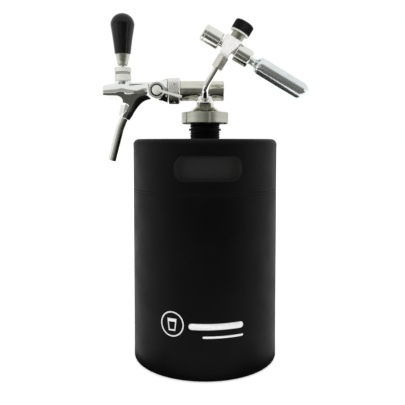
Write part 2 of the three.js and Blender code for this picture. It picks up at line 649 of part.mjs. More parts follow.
function regulatorBlock() {
  const bevel = 1.4;
  const outline = new THREE.Shape();
  outline.moveTo(-6.2, BLOCK_FOOT);
  outline.lineTo(2.9, BLOCK_FOOT);
  outline.lineTo(8.9, 2.4);
  outline.lineTo(9.7, BLOCK_TOP);
  outline.lineTo(-10.3, BLOCK_TOP);
  outline.lineTo(-10, 2.4);
  outline.closePath();
  const bevelOptions = { bevelThickness: bevel, bevelSize: bevel, bevelOffset: -bevel, bevelSegments: 1 };
  const block = new THREE.ExtrudeGeometry(outline, { depth: BLOCK_DEPTH - 2 * bevel, ...bevelOptions });
  block.translate(0, 0, bevel - BLOCK_DEPTH / 2).rotateX(QUARTER);
  const spigotFoot = TUBE_END + 0.4 - REGULATOR_REACH;
  return cut(
    join(block, rod(5.5, spigotFoot, BLOCK_FOOT + 1, SMALL)),
    rod(2.5, spigotFoot - 1, -3, TINY),
    turnedAlongX([[0, -12], [5.3, -12], [5.3, -5], [0, -5]], SMALL),
    turnedAlongX([[0, INLET_X - GAP], [INLET_STUB + GAP, INLET_X - GAP], [INLET_STUB + GAP, 14], [0, 14]]),
    turnedAlongX([[0, -6], [1, -6], [1, INLET_X], [0, INLET_X]], TINY),
    rod(7.3, BONNET_FOOT - GAP, BLOCK_TOP + 1, MEDIUM).translate(KNOB_OFFSET, 0, 0),
    rod(2, -1.5, BONNET_FOOT, TINY).translate(KNOB_OFFSET, 0, 0),
  );
}

const bonnet = () => turned([
  [5.2, BONNET_FOOT], [7, BONNET_FOOT], [7, BLOCK_TOP + GAP], [8, BLOCK_TOP + GAP], [8, BONNET_TOP],
  [3.4, BONNET_TOP], [3.4, SCREW_FOOT], [5.2, SCREW_FOOT],
], MEDIUM).translate(KNOB_OFFSET, 0, 0);

const bonnetRing = () =>
  tube(3.6, 11.7, BONNET_TOP + GAP, RING_TOP, FINE).translate(KNOB_OFFSET, 0, 0);

const adjustScrew = () =>
  rod(3, SCREW_FOOT, KNOB_SOCKET - GAP, SMALL).translate(KNOB_OFFSET, 0, 0);

const knob = () => turned([
  [3.4, KNOB_FOOT], [11.4, KNOB_FOOT], [KNOB_RADIUS, KNOB_FOOT + 0.6],
  ...arc(KNOB_RADIUS - 2.2, KNOB_TOP - 2.2, 2.2, 0, 90, 3), [0, KNOB_TOP],
  [0, KNOB_SOCKET], [3.4, KNOB_SOCKET],
], FINE).translate(KNOB_OFFSET, 0, 0);

const piston = () => turned([[0, 5.9], [1.4, 5.9], [1.4, 7.1], [4.8, 7.1], [4.8, 8.2], [0, 8.2]], SMALL)
  .translate(KNOB_OFFSET, 0, 0);

const inletSocket = () => turnedAlongX([
  [2, INLET_X], [INLET_STUB, INLET_X], [INLET_STUB, SOCKET_X], [10.7, SOCKET_X],
  [11.3, SOCKET_X + 0.6], [11.3, SOCKET_END_X - 2.4],
  ...arc(8.9, SOCKET_END_X - 2.4, 2.4, 30, 90, 2), [5.1, SOCKET_END_X], [5.1, 12.7], [2, 12.7],
], FINE);

const inletSeal = () => turnedAlongX([[2.2, 19], [4.6, 19], [4.6, 20.1], [2.2, 20.1]], SMALL);

const piercePin = () => turnedAlongX([
  [0.4, 13], [4.6, 13], [4.6, 14.5], [1.6, 14.5], [1.6, 18.4], [0.8, 21.4], [0.4, 21.6],
], TINY);

function cartridge() {
  const neck = 4.75;
  const wall = 1.2;
  const mouth = 20.4;
  const tail = 109.4;
  return turnedAlongX([
    [1.3, mouth], [neck - 0.4, mouth], [neck, mouth + 0.4], [neck, 34], [6.2, 37], [8.9, 39.4],
    [CARTRIDGE_RADIUS, 42.6], [CARTRIDGE_RADIUS, tail - 10.7],
    ...arc(0, tail - 10.7, CARTRIDGE_RADIUS, 15, 75, 4), [0, tail],
    [0, tail - wall], ...arc(0, tail - 10.7, CARTRIDGE_RADIUS - wall, 60, 0, 3),
    [CARTRIDGE_RADIUS - wall, 43.2], [2.9, 35.6], [1.3, 30],
  ], MEDIUM);
}

const gaugeAxis = (outline, sides) => turned(outline, sides).rotateY(-QUARTER);

const gaugeCase = () => gaugeAxis([
  [1.5, 5.6], [5, 5.6], [5, GAUGE_BACK], [10.4, GAUGE_BACK], [GAUGE_RADIUS, GAUGE_BACK + 0.8],
  [GAUGE_RADIUS, GAUGE_FRONT - 1.8], ...arc(GAUGE_RADIUS - 1.2, GAUGE_FRONT - 1.2, 1.2, 30, 90, 2),
  [9.7, GAUGE_FRONT], [9.7, 27], [1.5, 27],
], FINE);

const gaugeDisc = (back, front) =>
  gaugeAxis([[0, back], [9.4, back], [9.4, front], [0, front]], MEDIUM);

function gaugeNeedle() {
  const hub = gaugeAxis([[0, 29.7], [1.3, 29.7], [1.3, 31.4], [0, 31.4]], TINY);
  const pointer = box([-30.9, -0.4, -2.6], [-30.4, 0.4, 7.4]);
  pointer.rotateX(THREE.MathUtils.degToRad(135));
  return join(hub, pointer);
}

add(regulator, 'regulator_block', regulatorBlock(), NICKEL);
add(regulator, 'regulator_bonnet', bonnet(), NICKEL);
add(regulator, 'bonnet_ring', bonnetRing(), CHROME);
add(regulator, 'regulator_knob', knob(), BLACK_PLASTIC);
add(regulator, 'adjust_screw', adjustScrew(), BRASS);
add(regulator, 'spring_button', rod(4.8, 14.4, 15.7, SMALL).translate(KNOB_OFFSET, 0, 0), BRASS);
add(regulator, 'regulator_piston', piston(), BRASS);
add(regulator, 'regulator_spring', spring(3.7, 0.5, 8.5, 14.1, 3.5).translate(KNOB_OFFSET, 0, 0), STEEL);
add(regulator, 'inlet_socket', inletSocket(), CHROME);
add(regulator, 'pierce_pin', piercePin(), STEEL);
add(regulator, 'inlet_seal', inletSeal(), RUBBER);
add(regulator, 'co2_cartridge', cartridge(), ZINC);
add(regulator, 'gauge_case', gaugeCase(), CHROME);
add(regulator, 'gauge_dial', gaugeDisc(27.3, 28.3), DIAL_WHITE);
add(regulator, 'gauge_needle', gaugeNeedle(), BLACK_PLASTIC);
add(regulator, 'gauge_lens', gaugeDisc(33, 34.4), CLEAR);

export default keg;
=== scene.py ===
# Looks of a 5 litre mini keg with a tap head and a CO2 regulator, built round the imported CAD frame.
# Turned pieces are made in millimetres in a frame whose z is their own axis, then scaled to metres.

import json
from math import ceil, cos, exp, hypot, pi, radians, sin, sqrt, tan

import bmesh
import bpy
import numpy as np
from mathutils import Matrix, Vector


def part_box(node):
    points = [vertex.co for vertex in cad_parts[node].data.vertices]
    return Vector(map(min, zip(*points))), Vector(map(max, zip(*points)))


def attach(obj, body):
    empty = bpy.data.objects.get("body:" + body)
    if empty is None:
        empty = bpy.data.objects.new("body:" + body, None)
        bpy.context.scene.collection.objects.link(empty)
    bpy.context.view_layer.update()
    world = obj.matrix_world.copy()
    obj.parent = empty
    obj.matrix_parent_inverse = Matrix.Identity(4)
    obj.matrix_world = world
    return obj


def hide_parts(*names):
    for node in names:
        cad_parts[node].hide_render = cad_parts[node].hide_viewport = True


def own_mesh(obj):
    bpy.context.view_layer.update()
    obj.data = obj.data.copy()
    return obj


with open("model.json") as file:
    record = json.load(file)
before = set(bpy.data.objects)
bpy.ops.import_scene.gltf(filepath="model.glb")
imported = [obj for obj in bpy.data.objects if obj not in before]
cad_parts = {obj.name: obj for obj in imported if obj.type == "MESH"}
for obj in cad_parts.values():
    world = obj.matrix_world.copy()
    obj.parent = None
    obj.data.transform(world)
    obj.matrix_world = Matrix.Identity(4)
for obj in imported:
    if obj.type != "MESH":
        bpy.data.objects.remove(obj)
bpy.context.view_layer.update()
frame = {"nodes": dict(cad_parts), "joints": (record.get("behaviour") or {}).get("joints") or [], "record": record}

MM = 0.001
BODY_OF = {node: body for body, nodes in frame["record"]["behaviour"]["bodies"].items() for node in nodes}
JOINTS = {joint["name"]: joint for joint in frame["joints"]}


# ---- frames, read from the joints

def facing(point, z_axis, y_hint=(0, 1, 0)):
    """A frame at point, in metres, whose z lies along z_axis and whose y stays close to y_hint."""
    z = Vector(z_axis).normalized()
    x = Vector(y_hint).cross(z).normalized()
    y = z.cross(x)
    turn = Matrix((x, y, z)).transposed().to_4x4()
    return Matrix.Translation(point) @ turn


GAS_FOOT = Vector(JOINTS["gas_arm_swivel"]["pos_m"])
GAS_AXIS = Vector(JOINTS["gas_arm_swivel"]["axis"])
ARM_AXIS = -Vector(JOINTS["knob_turn"]["axis"])
CARTRIDGE_AXIS = Vector(JOINTS["needle_turn"]["axis"])
TAP_HEIGHT = JOINTS["coupling_turn"]["pos_m"][2]
LEVER_PIVOT = Vector(JOINTS["handle_tilt"]["pos_m"])
FLOW_PIVOT = Vector(JOINTS["flow_lever_turn"]["pos_m"])
GAUGE_POINT = Vector(JOINTS["needle_turn"]["pos_m"])
KNOB_POINT = Vector(JOINTS["knob_turn"]["pos_m"])
ALONG = (GAUGE_POINT - KNOB_POINT).dot(ARM_AXIS)
# The block's middle is where the gauge's axis passes under the knob's, less the knob's offset.
KNOB_OFFSET = 1.9 * MM
REGULATOR_MIDDLE = KNOB_POINT + ARM_AXIS * ALONG - CARTRIDGE_AXIS * KNOB_OFFSET
ELBOW = GAS_FOOT + GAS_AXIS * ((REGULATOR_MIDDLE.y - GAS_FOOT.y) / GAS_AXIS.y)

PLACES = {
    "up": Matrix.Identity(4),
    "tap": facing((0, 0, TAP_HEIGHT), (1, 0, 0)),
    "lever": facing((LEVER_PIVOT.x, 0, 0), (0, 0, 1)),
    "flow": facing((FLOW_PIVOT.x, 0, TAP_HEIGHT), (0, -1, 0), (1, 0, 0)),
    "gas": facing(GAS_FOOT, GAS_AXIS, (1, 0, 0)),
    "block": facing(REGULATOR_MIDDLE, ARM_AXIS),
    "knob": facing(REGULATOR_MIDDLE + CARTRIDGE_AXIS * KNOB_OFFSET, ARM_AXIS),
    "inlet": facing(REGULATOR_MIDDLE, CARTRIDGE_AXIS),
    "gauge": facing(REGULATOR_MIDDLE, -CARTRIDGE_AXIS),
}


def extent(node, place):
    """Largest radius, lowest and highest z of a CAD node in a frame, in millimetres."""
    inverse = PLACES[place].inverted()
    points = np.array([inverse @ vertex.co for vertex in frame["nodes"][node].data.vertices]) / MM
    radius = np.hypot(points[:, 0], points[:, 1]).max()
    return float(radius), float(points[:, 2].min()), float(points[:, 2].max())


# ---- mesh helpers

def rounded(outline, steps=5):
    """Outline points (radius, height[, corner radius]) with each marked corner turned to a curve."""
    points = []
    count = len(outline)
    for index, entry in enumerate(outline):
        here = np.array(entry[:2], float)
        if len(entry) < 3:
            points.append(here)
            continue
        before = np.array(outline[index - 1][:2], float) - here
        after = np.array(outline[(index + 1) % count][:2], float) - here
        reach = min(entry[2], np.linalg.norm(before) * 0.49, np.linalg.norm(after) * 0.49)
        start = here + before / np.linalg.norm(before) * reach
        end = here + after / np.linalg.norm(after) * reach
        for step in range(steps + 1):
            share = step / steps
            points.append(start * (1 - share) ** 2 + here * 2 * share * (1 - share) + end * share ** 2)
    return points


def finished(name, mesh, place, body, material, crease=35):
    """Links a mesh as a smooth-shaded piece that rides on a body."""
    mesh.materials.append(material)
    mesh.shade_smooth()
    mesh.set_sharp_from_angle(angle=radians(crease))
    piece = bpy.data.objects.new(name, mesh)
    bpy.context.scene.collection.objects.link(piece)
    piece.matrix_world = place
    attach(piece, body)
    return piece


def even_normals(piece):
    piece.modifiers.new("even_normals", "WEIGHTED_NORMAL").keep_sharp = True


def mesh_from(name, vertices, faces):
    mesh = bpy.data.meshes.new(name)
    mesh.from_pydata([tuple(vertex) for vertex in vertices], [], faces)
    mesh.validate()
    return mesh


def from_nearest(angle, count):
    """The angle measured from the nearest of count marks spaced evenly round the axis."""
    spacing = 2 * pi / count
    return (angle + spacing / 2) % spacing - spacing / 2


def arc(radius, height, reach, start, stop, count):
    """Outline points round a centre at (radius, height), from one angle in degrees to another."""
    return [(radius + reach * cos(a), height + reach * sin(a))
            for a in np.radians(np.linspace(start, stop, count))]


def round_axis(reach, angle, height):
    """A point in metres, from millimetres, round the z axis."""
    return reach * cos(angle) * MM, reach * sin(angle) * MM, height * MM


def skin(rows, closes):
    """Faces between rows of vertex numbers. Each row is a ring or one point on the axis."""
    pairs = list(zip(rows, rows[1:])) + ([(rows[-1], rows[0])] if closes else [])
    faces = []
    for low, high in pairs:
        count = max(len(low), len(high))
        for index in range(count if count > 1 else 0):
            after = (index + 1) % count
            corners = [low[index % len(low)], low[after % len(low)],
                       high[after % len(high)], high[index % len(high)]]
            faces.append(list(dict.fromkeys(corners)))
    return faces


def numbered_rows(count, size):
    return [range(row * size, (row + 1) * size) for row in range(count)]


def divided(points, step):
    """The same outline with long stretches split, so that a shape can bend them."""
    result = []
    for here, after in zip(points, points[1:] + points[:1]):
        pieces = max(1, ceil(np.linalg.norm(after - here) / step))
        if here[0] < 1e-6 and after[0] < 1e-6:
            pieces = 1
        result += [here + (after - here) * part / pieces for part in range(pieces)]
    return result


def lathe(name, outline, segments, shape, step):
    """A lathe about z in metres. shape(radius, height, angle) may move each point's radius."""
    points = rounded(outline)
    if step:
        points = divided(points, step)
    vertices, rows = [], []
    for radius, height in points:
        count = segments if radius > 1e-6 else 1
        rows.append(range(len(vertices), len(vertices) + count))
        for index in range(count):
            angle = 2 * pi * index / segments
            reach = shape(radius, height, angle) if shape and count > 1 else radius
            vertices.append(round_axis(reach, angle, height))
    return mesh_from(name, vertices, skin(rows, points[0][0] > 1e-6))


def standing_for(node, mesh, place, material, crease=35):
    """Links a mesh as the fine piece that stands for a CAD node, on the node's body."""
    piece = finished(mesh.name, mesh, PLACES[place], BODY_OF[node], material, crease)
    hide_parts(node)
    return piece


def turned(node, place, outline, material, segments=96, shape=None, step=None):
    """A fine turned piece that stands for a CAD node."""
    mesh = lathe(f"{node}_fine", outline, segments, shape, step)
    even_normals(standing_for(node, mesh, place, material))


def washer(node, place, bore, corners, material, segments=96):
    """A plain ring or disc. corners are radii at the bore's low end, the rim's two ends and its high end."""
    radius, low, high = extent(node, place)
    ends = [(bore, low), (radius, low), (radius, high), (bore, high)]
    outline = [(*end, corner) if corner else end for end, corner in zip(ends, corners)]
    turned(node, place, outline, material, segments)


def hexagon(across, turn=0.0):
    """Keeps a turned outline inside a hexagon of that size across its flats."""
    def shape(radius, height, angle):
        return min(radius, across / 2 / cos(from_nearest(angle + turn, 6)))
    return shape


def ridges(count, depth, low, high, outer):
    """Straight knurling: a wave round the outer radius between two heights."""
    def shape(radius, height, angle):
        if radius < outer - 0.05 or not low <= height <= high:
            return radius
        return radius - depth * (0.5 - 0.5 * cos(count * angle)) ** 0.7
    return shape


def rail(points, bends, steps=14):
    """A path of straight runs whose inner corners are turned to round bends."""
    path = [Vector(points[0])]
    for before, here, after, bend in zip(points, points[1:], points[2:], bends):
        back = (before - here).normalized()
        ahead = (after - here).normalized()
        half = back.angle(ahead) / 2
        reach = bend / tan(half)
        centre = here + (back + ahead).normalized() * bend / sin(half)
        first = here + back * reach - centre
        last = here + ahead * reach - centre
        sweep = first.angle(last)
        for step in range(steps + 1):
            share = step / steps
            blend = first * sin(sweep * (1 - share)) + last * sin(sweep * share)
            path.append(centre + blend / sin(sweep))
    path.append(Vector(points[-1]))
    return path


def swept_tube(name, path, radius, bore, segments=48):
    """A tube with a wall along a path, with softened ends. Everything is in metres."""
    lip = (radius - bore) * 0.3
    tangent = (path[1] - path[0]).normalized()
    side = tangent.orthogonal().normalized()
    stations = []
    for index, point in enumerate(path):
        ahead = path[min(index + 1, len(path) - 1)] - path[max(index - 1, 0)]
        turn = tangent.rotation_difference(ahead.normalized())
        tangent, side = ahead.normalized(), turn @ side
        stations.append((point, tangent.copy(), side.copy()))
    first, last = stations[0], stations[-1]
    loops = [(last, bore, 0), *[(station, bore, 0) for station in stations[-2:0:-1]], (first, bore, 0),
             (first, bore + lip * 0.3, 0), (first, radius - lip, 0), (first, radius, lip)]
    loops += [(station, radius, 0) for station in stations[1:-1]]
    loops += [(last, radius, -lip), (last, radius - lip, 0)]
    vertices = []
    for (point, along, across), reach, shift in loops:
        other = along.cross(across)
        for index in range(segments):
            angle = 2 * pi * index / segments
            offset = across * cos(angle) + other * sin(angle)
            vertices.append(point + along * shift + offset * reach)
    return mesh_from(name, vertices, skin(numbered_rows(len(loops), segments), True))


# ---- smooth solids from distance fields

def blended(first, second, width):
    """Union of two fields with a fillet about that wide."""
    mix = np.clip(0.5 + 0.5 * (second - first) / width, 0, 1)
    return second * (1 - mix) + first * mix - width * mix * (1 - mix)


def smooth_curve(points):
    """A smooth function through (place, value) points."""
    places, values = np.array(points, float).T
    slopes = np.gradient(values, places)

    def curve(where):
        inside = np.clip(where, places[0], places[-1])
        index = np.clip(np.searchsorted(places, inside) - 1, 0, len(places) - 2)
        step = places[index + 1] - places[index]
        share = (inside - places[index]) / step
        rise = values[index + 1] - values[index]
        start, end = slopes[index] * step, slopes[index + 1] * step
        bend = (start - rise) * (1 - share) ** 2 * share - (end - rise) * share ** 2 * (1 - share)
        return values[index] + rise * share + bend
    return curve


def capped(radial, along, low, high, edge=0.5):
    """A turned field cut square at both ends with softened edges."""
    ends = np.maximum(low - along, along - high)
    inner = np.minimum(np.maximum(radial + edge, ends + edge), 0)
    outer = np.hypot(np.maximum(radial + edge, 0), np.maximum(ends + edge, 0))
    return inner + outer - edge


OTHER_AXES = ((1, 2), (0, 2), (0, 1))


def solid_field(field, low, high, cell):
    """Vertices and quads of the zero surface of a field, in the field's own units."""
    axes = [np.arange(start, stop + cell, cell) for start, stop in zip(low, high)]
    values = field(*np.meshgrid(*axes, indexing="ij"))
    inside = values < 0
    size = tuple(np.array(values.shape) - 1)
    total = np.zeros((*size, 3))
    hits = np.zeros(size)
    corner = [slice(0, -1), slice(1, None)]
    for axis, others in enumerate(OTHER_AXES):
        for a, b in np.ndindex(2, 2):
            pick = [corner[0]] * 3
            pick[others[0]], pick[others[1]] = corner[a], corner[b]
            start = tuple(pick)
            pick[axis] = corner[1]
            end = tuple(pick)
            crossing = inside[start] != inside[end]
            span = np.where(crossing, values[start] - values[end], 1)
            share = np.where(crossing, values[start] / span, 0)
            total[..., axis] += share * crossing
            total[..., others[0]] += a * crossing
            total[..., others[1]] += b * crossing
            hits += crossing
    used = hits > 0
    number = np.full(size, -1)
    number[used] = np.arange(used.sum())
    cells = np.argwhere(used)
    points = (cells + total[used] / hits[used][:, None]) * cell + np.array(low)
    quads = []
    for axis, others in enumerate(OTHER_AXES):
        pick = [slice(1, -1)] * 3
        pick[axis] = slice(0, -1)
        start = tuple(pick)
        pick[axis] = slice(1, None)
        crossing = inside[start] != inside[tuple(pick)]
        where = np.argwhere(crossing)
        where[:, others] += 1
        if not len(where):
            continue
        ring = []
        for a, b in ((0, 0), (1, 0), (1, 1), (0, 1)):
            shift = np.zeros(3, int)
            shift[others[0]], shift[others[1]] = a, b
            ring.append(number[tuple((where - shift).T)])
        ring = np.array(ring).T
        flip = inside[tuple(where.T)] == (axis == 1)
        ring[flip] = ring[flip][:, ::-1]
        quads.append(ring)
    return settled(field, points, cell), np.concatenate(quads)


def settled(field, points, cell):
    """Moves points onto the field's surface along its slope."""
    probe = cell * 0.25
    for _ in range(3):
        value = field(*points.T)
        slope = np.stack([
            (field(*(points + step).T) - field(*(points - step).T)) / (2 * probe)
            for step in np.eye(3) * probe
        ], axis=1)
        size = np.maximum((slope ** 2).sum(1), 0.2)
        points = points - np.clip(value / size, -cell / 2, cell / 2)[:, None] * slope
    return points


def formed(node, place, field, low, high, cell, material, crease=50):
    """A piece whose surface is a distance field in millimetres, standing for a CAD node."""
    points, quads = solid_field(field, low, high, cell)
    mesh = bpy.data.meshes.new(f"{node}_fine")
    mesh.vertices.add(len(points))
    mesh.vertices.foreach_set("co", (points * MM).ravel())
    mesh.loops.add(quads.size)
    mesh.loops.foreach_set("vertex_index", quads.ravel())
    mesh.polygons.add(len(quads))
    mesh.polygons.foreach_set("loop_start", np.arange(0, quads.size, 4))
    mesh.update(calc_edges=True)
    mesh.validate()
    return standing_for(node, mesh, place, material, crease)


# ---- materials

def surface(name, color, roughness, metallic=0.0, **sockets):
    """A Principled material. Extra sockets are given by name, with _ for a space."""
    material = bpy.data.materials.new(name)
    material.use_nodes = True
    shader = material.node_tree.nodes["Principled BSDF"]
    shader.inputs["Base Color"].default_value = (*color, 1)
    shader.inputs["Roughness"].default_value = roughness
    shader.inputs["Metallic"].default_value = metallic
    for socket, value in sockets.items():
        shader.inputs[socket.replace("_", " ")].default_value = value
    return material


def node(material, kind, links=None, **settings):
    """Adds a shader node. links maps an input name or number to a socket or a value."""
    made = material.node_tree.nodes.new(f"ShaderNode{kind}")
    for setting, value in settings.items():
        setattr(made, setting, value)
    for key, value in (links or {}).items():
        if isinstance(value, bpy.types.NodeSocket):
            material.node_tree.links.new(value, made.inputs[key])
        else:
            made.inputs[key].default_value = value
    return made


def place_of(material):
    return node(material, "TexCoord").outputs["Object"]


def grain(material, scale, detail=3.0, rough=0.55, vector=None):
    """Fractal noise, with scale in cells to the metre."""
    links = {"Vector": vector or place_of(material), "Scale": scale, "Detail": detail, "Roughness": rough}
    return node(material, "TexNoise", links).outputs["Fac"]


def ranged(material, factor, low, high):
    """Spreads noise, which mostly lies between 0.3 and 0.7, over a range."""
    links = {"Value": factor, "From Min": 0.3, "From Max": 0.7, "To Min": low, "To Max": high}
    return node(material, "MapRange", links).outputs["Result"]


def plug(material, socket, value):
    shader = material.node_tree.nodes["Principled BSDF"]
    material.node_tree.links.new(value, shader.inputs[socket])


def toned(material, factor, first, second, area=None):
    """Base colour that wanders between two colours, and turns to a third where a mesh attribute says."""
    share = ranged(material, factor, 0, 1)
    mix = node(material, "Mix", {0: share, 6: (*first, 1), 7: (*second, 1)}, data_type="RGBA")
    if area:
        where = node(material, "Attribute", attribute_name=area[0]).outputs["Fac"]
        mix = node(material, "Mix", {0: where, 6: mix.outputs[2], 7: (*area[1], 1)}, data_type="RGBA")
    plug(material, "Base Color", mix.outputs[2])


def roughened(material, factor, low, high):
    plug(material, "Roughness", ranged(material, factor, low, high))


def relief(material, *layers):
    """Bump from (height socket, depth in metres, strength) layers."""
    normal = None
    for height, depth, strength in layers:
        links = {"Height": height, "Distance": depth, "Strength": strength}
        if normal:
            links["Normal"] = normal
        normal = node(material, "Bump", links).outputs["Normal"]
    plug(material, "Normal", normal)


def lathe_lines(material, pitch):
    """Noise in thin rings round the piece's own z axis, pitch in metres."""
    split = node(material, "SeparateXYZ", {0: place_of(material)})
    flat = node(material, "CombineXYZ", {0: split.outputs[0], 1: split.outputs[1]})
    radius = node(material, "VectorMath", {0: flat.outputs[0]}, operation="LENGTH").outputs["Value"]
    where = node(material, "CombineXYZ", {0: radius, 2: split.outputs[2]}).outputs[0]
    return grain(material, 1 / pitch, 4.0, 0.7, where)


GRIP_SHEEN = "pressed"


def powder_coat(name, color, lighter, grip_sheen_tone):
    """Matt powder coat: a fine orange peel with a little dust. In the pressed grips it turns to a lighter tone, a
    painted sheen for the light the recesses gather.
    """
    material = surface(name, color, 0.5, Specular_IOR_Level=0.08)
    # Painted sheen: where the grips are pressed in, the colour turns to a lighter tone.
    toned(material, grain(material, 14), color, lighter, (GRIP_SHEEN, grip_sheen_tone))
    roughened(material, grain(material, 38, 4), 0.44, 0.56)
    relief(material, (grain(material, 420, 2), 0.0003, 0.10), (grain(material, 1900, 2), 0.00012, 0.22))
    return material


def plated(name, color, warm, low, high, wave=0.03):
    """Polished plating with faint smears and a slight waviness under the polish."""
    material = surface(name, color, low, 1.0)
    toned(material, grain(material, 45, 2), color, warm)
    roughened(material, grain(material, 130, 5, 0.6), low, high)
    relief(material, (grain(material, 160, 1), 0.0004, wave), (grain(material, 2600, 2), 0.00003, 0.12))
    return material


def lathe_turned(name, color, warm, roughness, pitch, depth, anisotropic=0.0):
    """Metal with fine tool lines round its axis."""
    material = surface(name, color, roughness, 1.0, Anisotropic=anisotropic)
    lines = lathe_lines(material, pitch)
    toned(material, lines, color, warm)
    roughened(material, lines, roughness - 0.07, roughness + 0.09)
    relief(material, (lines, 0.00008, depth), (grain(material, 240, 2), 0.0002, 0.04))
    return material


def blasted(name, color, darker):
    """Bead-blasted plate: bright, and matt enough to look nearly white under soft light."""
    material = surface(name, color, 0.5, 0.15)
    toned(material, grain(material, 180, 4), color, darker)
    roughened(material, grain(material, 90, 3), 0.44, 0.58)
    relief(material, (grain(material, 1800, 3), 0.00006, 0.25), (grain(material, 200, 2), 0.0002, 0.08))
    return material


def drawn(name, color, blue, roughness):
    """Plated cartridge steel with faint lines along its length."""
    material = surface(name, color, roughness, 0.95)
    split = node(material, "SeparateXYZ", {0: place_of(material)})
    links = {0: split.outputs[2], 1: 0.04}
    slow = node(material, "Math", links, operation="MULTIPLY").outputs[0]
    where = node(material, "CombineXYZ", {0: split.outputs[0], 1: split.outputs[1], 2: slow}).outputs[0]
    lines = grain(material, 1400, 3, 0.6, where)
    toned(material, grain(material, 60, 3), color, blue)
    roughened(material, lines, roughness - 0.05, roughness + 0.08)
    relief(material, (lines, 0.00003, 0.12), (grain(material, 90, 2), 0.0004, 0.03))
    return material


def moulded(name, color, lighter, roughness, coat):
    """Glossy moulded plastic with faint flow marks and handling smears."""
    material = surface(name, color, roughness, Specular_IOR_Level=0.22, Coat_Weight=coat, Coat_Roughness=0.08)
    toned(material, grain(material, 70, 3), color, lighter)
    roughened(material, grain(material, 110, 4), roughness - 0.05, roughness + 0.1)
    relief(material, (grain(material, 900, 2), 0.00005, 0.08))
    return material


def rubbery(name):
    material = surface(name, (0.02, 0.02, 0.021), 0.75)
    toned(material, grain(material, 300, 3), (0.014, 0.014, 0.015), (0.03, 0.03, 0.03))
    relief(material, (grain(material, 1500, 3), 0.0001, 0.2))
    return material


def printed(name, color, speck):
    """Flat ink with a little texture from what lies under it."""
    material = surface(name, color, 0.5)
    toned(material, grain(material, 500, 3), color, speck)
    relief(material, (grain(material, 1900, 2), 0.00008, 0.15))
    return material


def clear_lens(name):
    material = surface(name, (0.97, 0.99, 1.0), 0.03, Transmission_Weight=1.0, IOR=1.47)
    relief(material, (grain(material, 90, 2), 0.0001, 0.04))
    return material


# The third colour is a painted sheen inside the pressed grips.
BLACK = powder_coat("black_paint", (0.001, 0.001, 0.0011), (0.002, 0.002, 0.0021), (0.019, 0.019, 0.0185))
CHROME = plated("chrome", (0.80, 0.80, 0.77), (0.73, 0.72, 0.68), 0.05, 0.13)
POLISHED_STEEL = plated("polished_steel", (0.70, 0.70, 0.625), (0.60, 0.60, 0.52), 0.12, 0.2)
CAST_CHROME = plated("cast_chrome", (0.81, 0.83, 0.81), (0.74, 0.75, 0.72), 0.06, 0.14, 0.07)
TURNED_CHROME = lathe_turned("turned_chrome", (0.80, 0.80, 0.765), (0.67, 0.665, 0.63), 0.16, 0.0006, 0.12)
BRUSHED = lathe_turned("brushed_collar", (0.55, 0.555, 0.48), (0.42, 0.425, 0.36), 0.3, 0.00025, 0.3, 0.6)
STEEL = lathe_turned("steel", (0.60, 0.60, 0.59), (0.50, 0.50, 0.49), 0.3, 0.0004, 0.15)
NICKEL = plated("nickel", (0.69, 0.69, 0.625), (0.58, 0.58, 0.515), 0.22, 0.32, 0.08)
# A darker nickel. On the regulator bonnet it is painted shade, standing in for the shade under the knob and its
# ring.
DARK_NICKEL = plated("dark_nickel", (0.36, 0.36, 0.28), (0.28, 0.28, 0.21), 0.3, 0.42, 0.08)
BLASTED = blasted("blasted_nickel", (0.86, 0.855, 0.84), (0.76, 0.75, 0.73))
SATIN = blasted("satin_chrome", (0.70, 0.705, 0.65), (0.59, 0.60, 0.545))
ZINC = drawn("zinc", (0.77, 0.81, 0.805), (0.64, 0.69, 0.69), 0.17)
BRASS = lathe_turned("brass", (0.66, 0.48, 0.2), (0.52, 0.36, 0.14), 0.32, 0.0004, 0.15)
PLASTIC = moulded("black_plastic", (0.0018, 0.0018, 0.002), (0.0035, 0.0035, 0.0038), 0.22, 0.06)
NYLON = moulded("grey_nylon", (0.27, 0.27, 0.255), (0.33, 0.33, 0.31), 0.35, 0.0)
RUBBER = rubbery("rubber")
DIAL = printed("dial_white", (0.86, 0.86, 0.84), (0.80, 0.80, 0.78))
INK = printed("white_print", (0.82, 0.82, 0.82), (0.70, 0.70, 0.70))
DARK_INK = printed("dark_print", (0.02, 0.02, 0.02), (0.035, 0.035, 0.035))
LENS = clear_lens("clear")
SLOTS = {"black_paint": BLACK, "steel": STEEL, "brushed_collar": BRUSHED, "chrome": CHROME,
         "nickel": NICKEL, "zinc": ZINC, "brass": BRASS, "black_plastic": PLASTIC, "rubber": RUBBER,
         "dial_white": DIAL, "clear": LENS}
for entry in frame["record"]["subparts"]:
    for cad_slot in frame["nodes"][entry["node"]].material_slots:
        cad_slot.material = SLOTS[entry["material_slot"]]


# ---- keg

KEG_LOW, KEG_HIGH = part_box("outer_shell")
KEG_RADIUS = (KEG_HIGH.x - KEG_LOW.x) / 2 / MM
KEG_FOOT, KEG_TOP = KEG_LOW.z / MM, KEG_HIGH.z / MM
WALL = 0.9
FOOT_CORNER, SHOULDER = 3, 7
NECK_HOLE = 18.3
SEAM_HEIGHT = 212.7
GRIP_TURN = radians(2.2)
GRIP_HEIGHT = 241.3
GRIP_HALF = (39.5 + 0.9, 13.85)
GRIP_CORNER = 11.5
GRIP_DEPTH = 12
GRIP_LIP, GRIP_WALL = 1.0, 3.4
# The painted sheen in the grips keeps to this half height and is full at this depth.
GRIP_SHEEN_ROWS, GRIP_SHEEN_FULL = 17, GRIP_DEPTH / 4


def from_grip(angle):
    """The angle from the middle of the nearer hand grip, one in front and one behind."""
    return from_nearest(angle + pi / 2 - GRIP_TURN, 2)


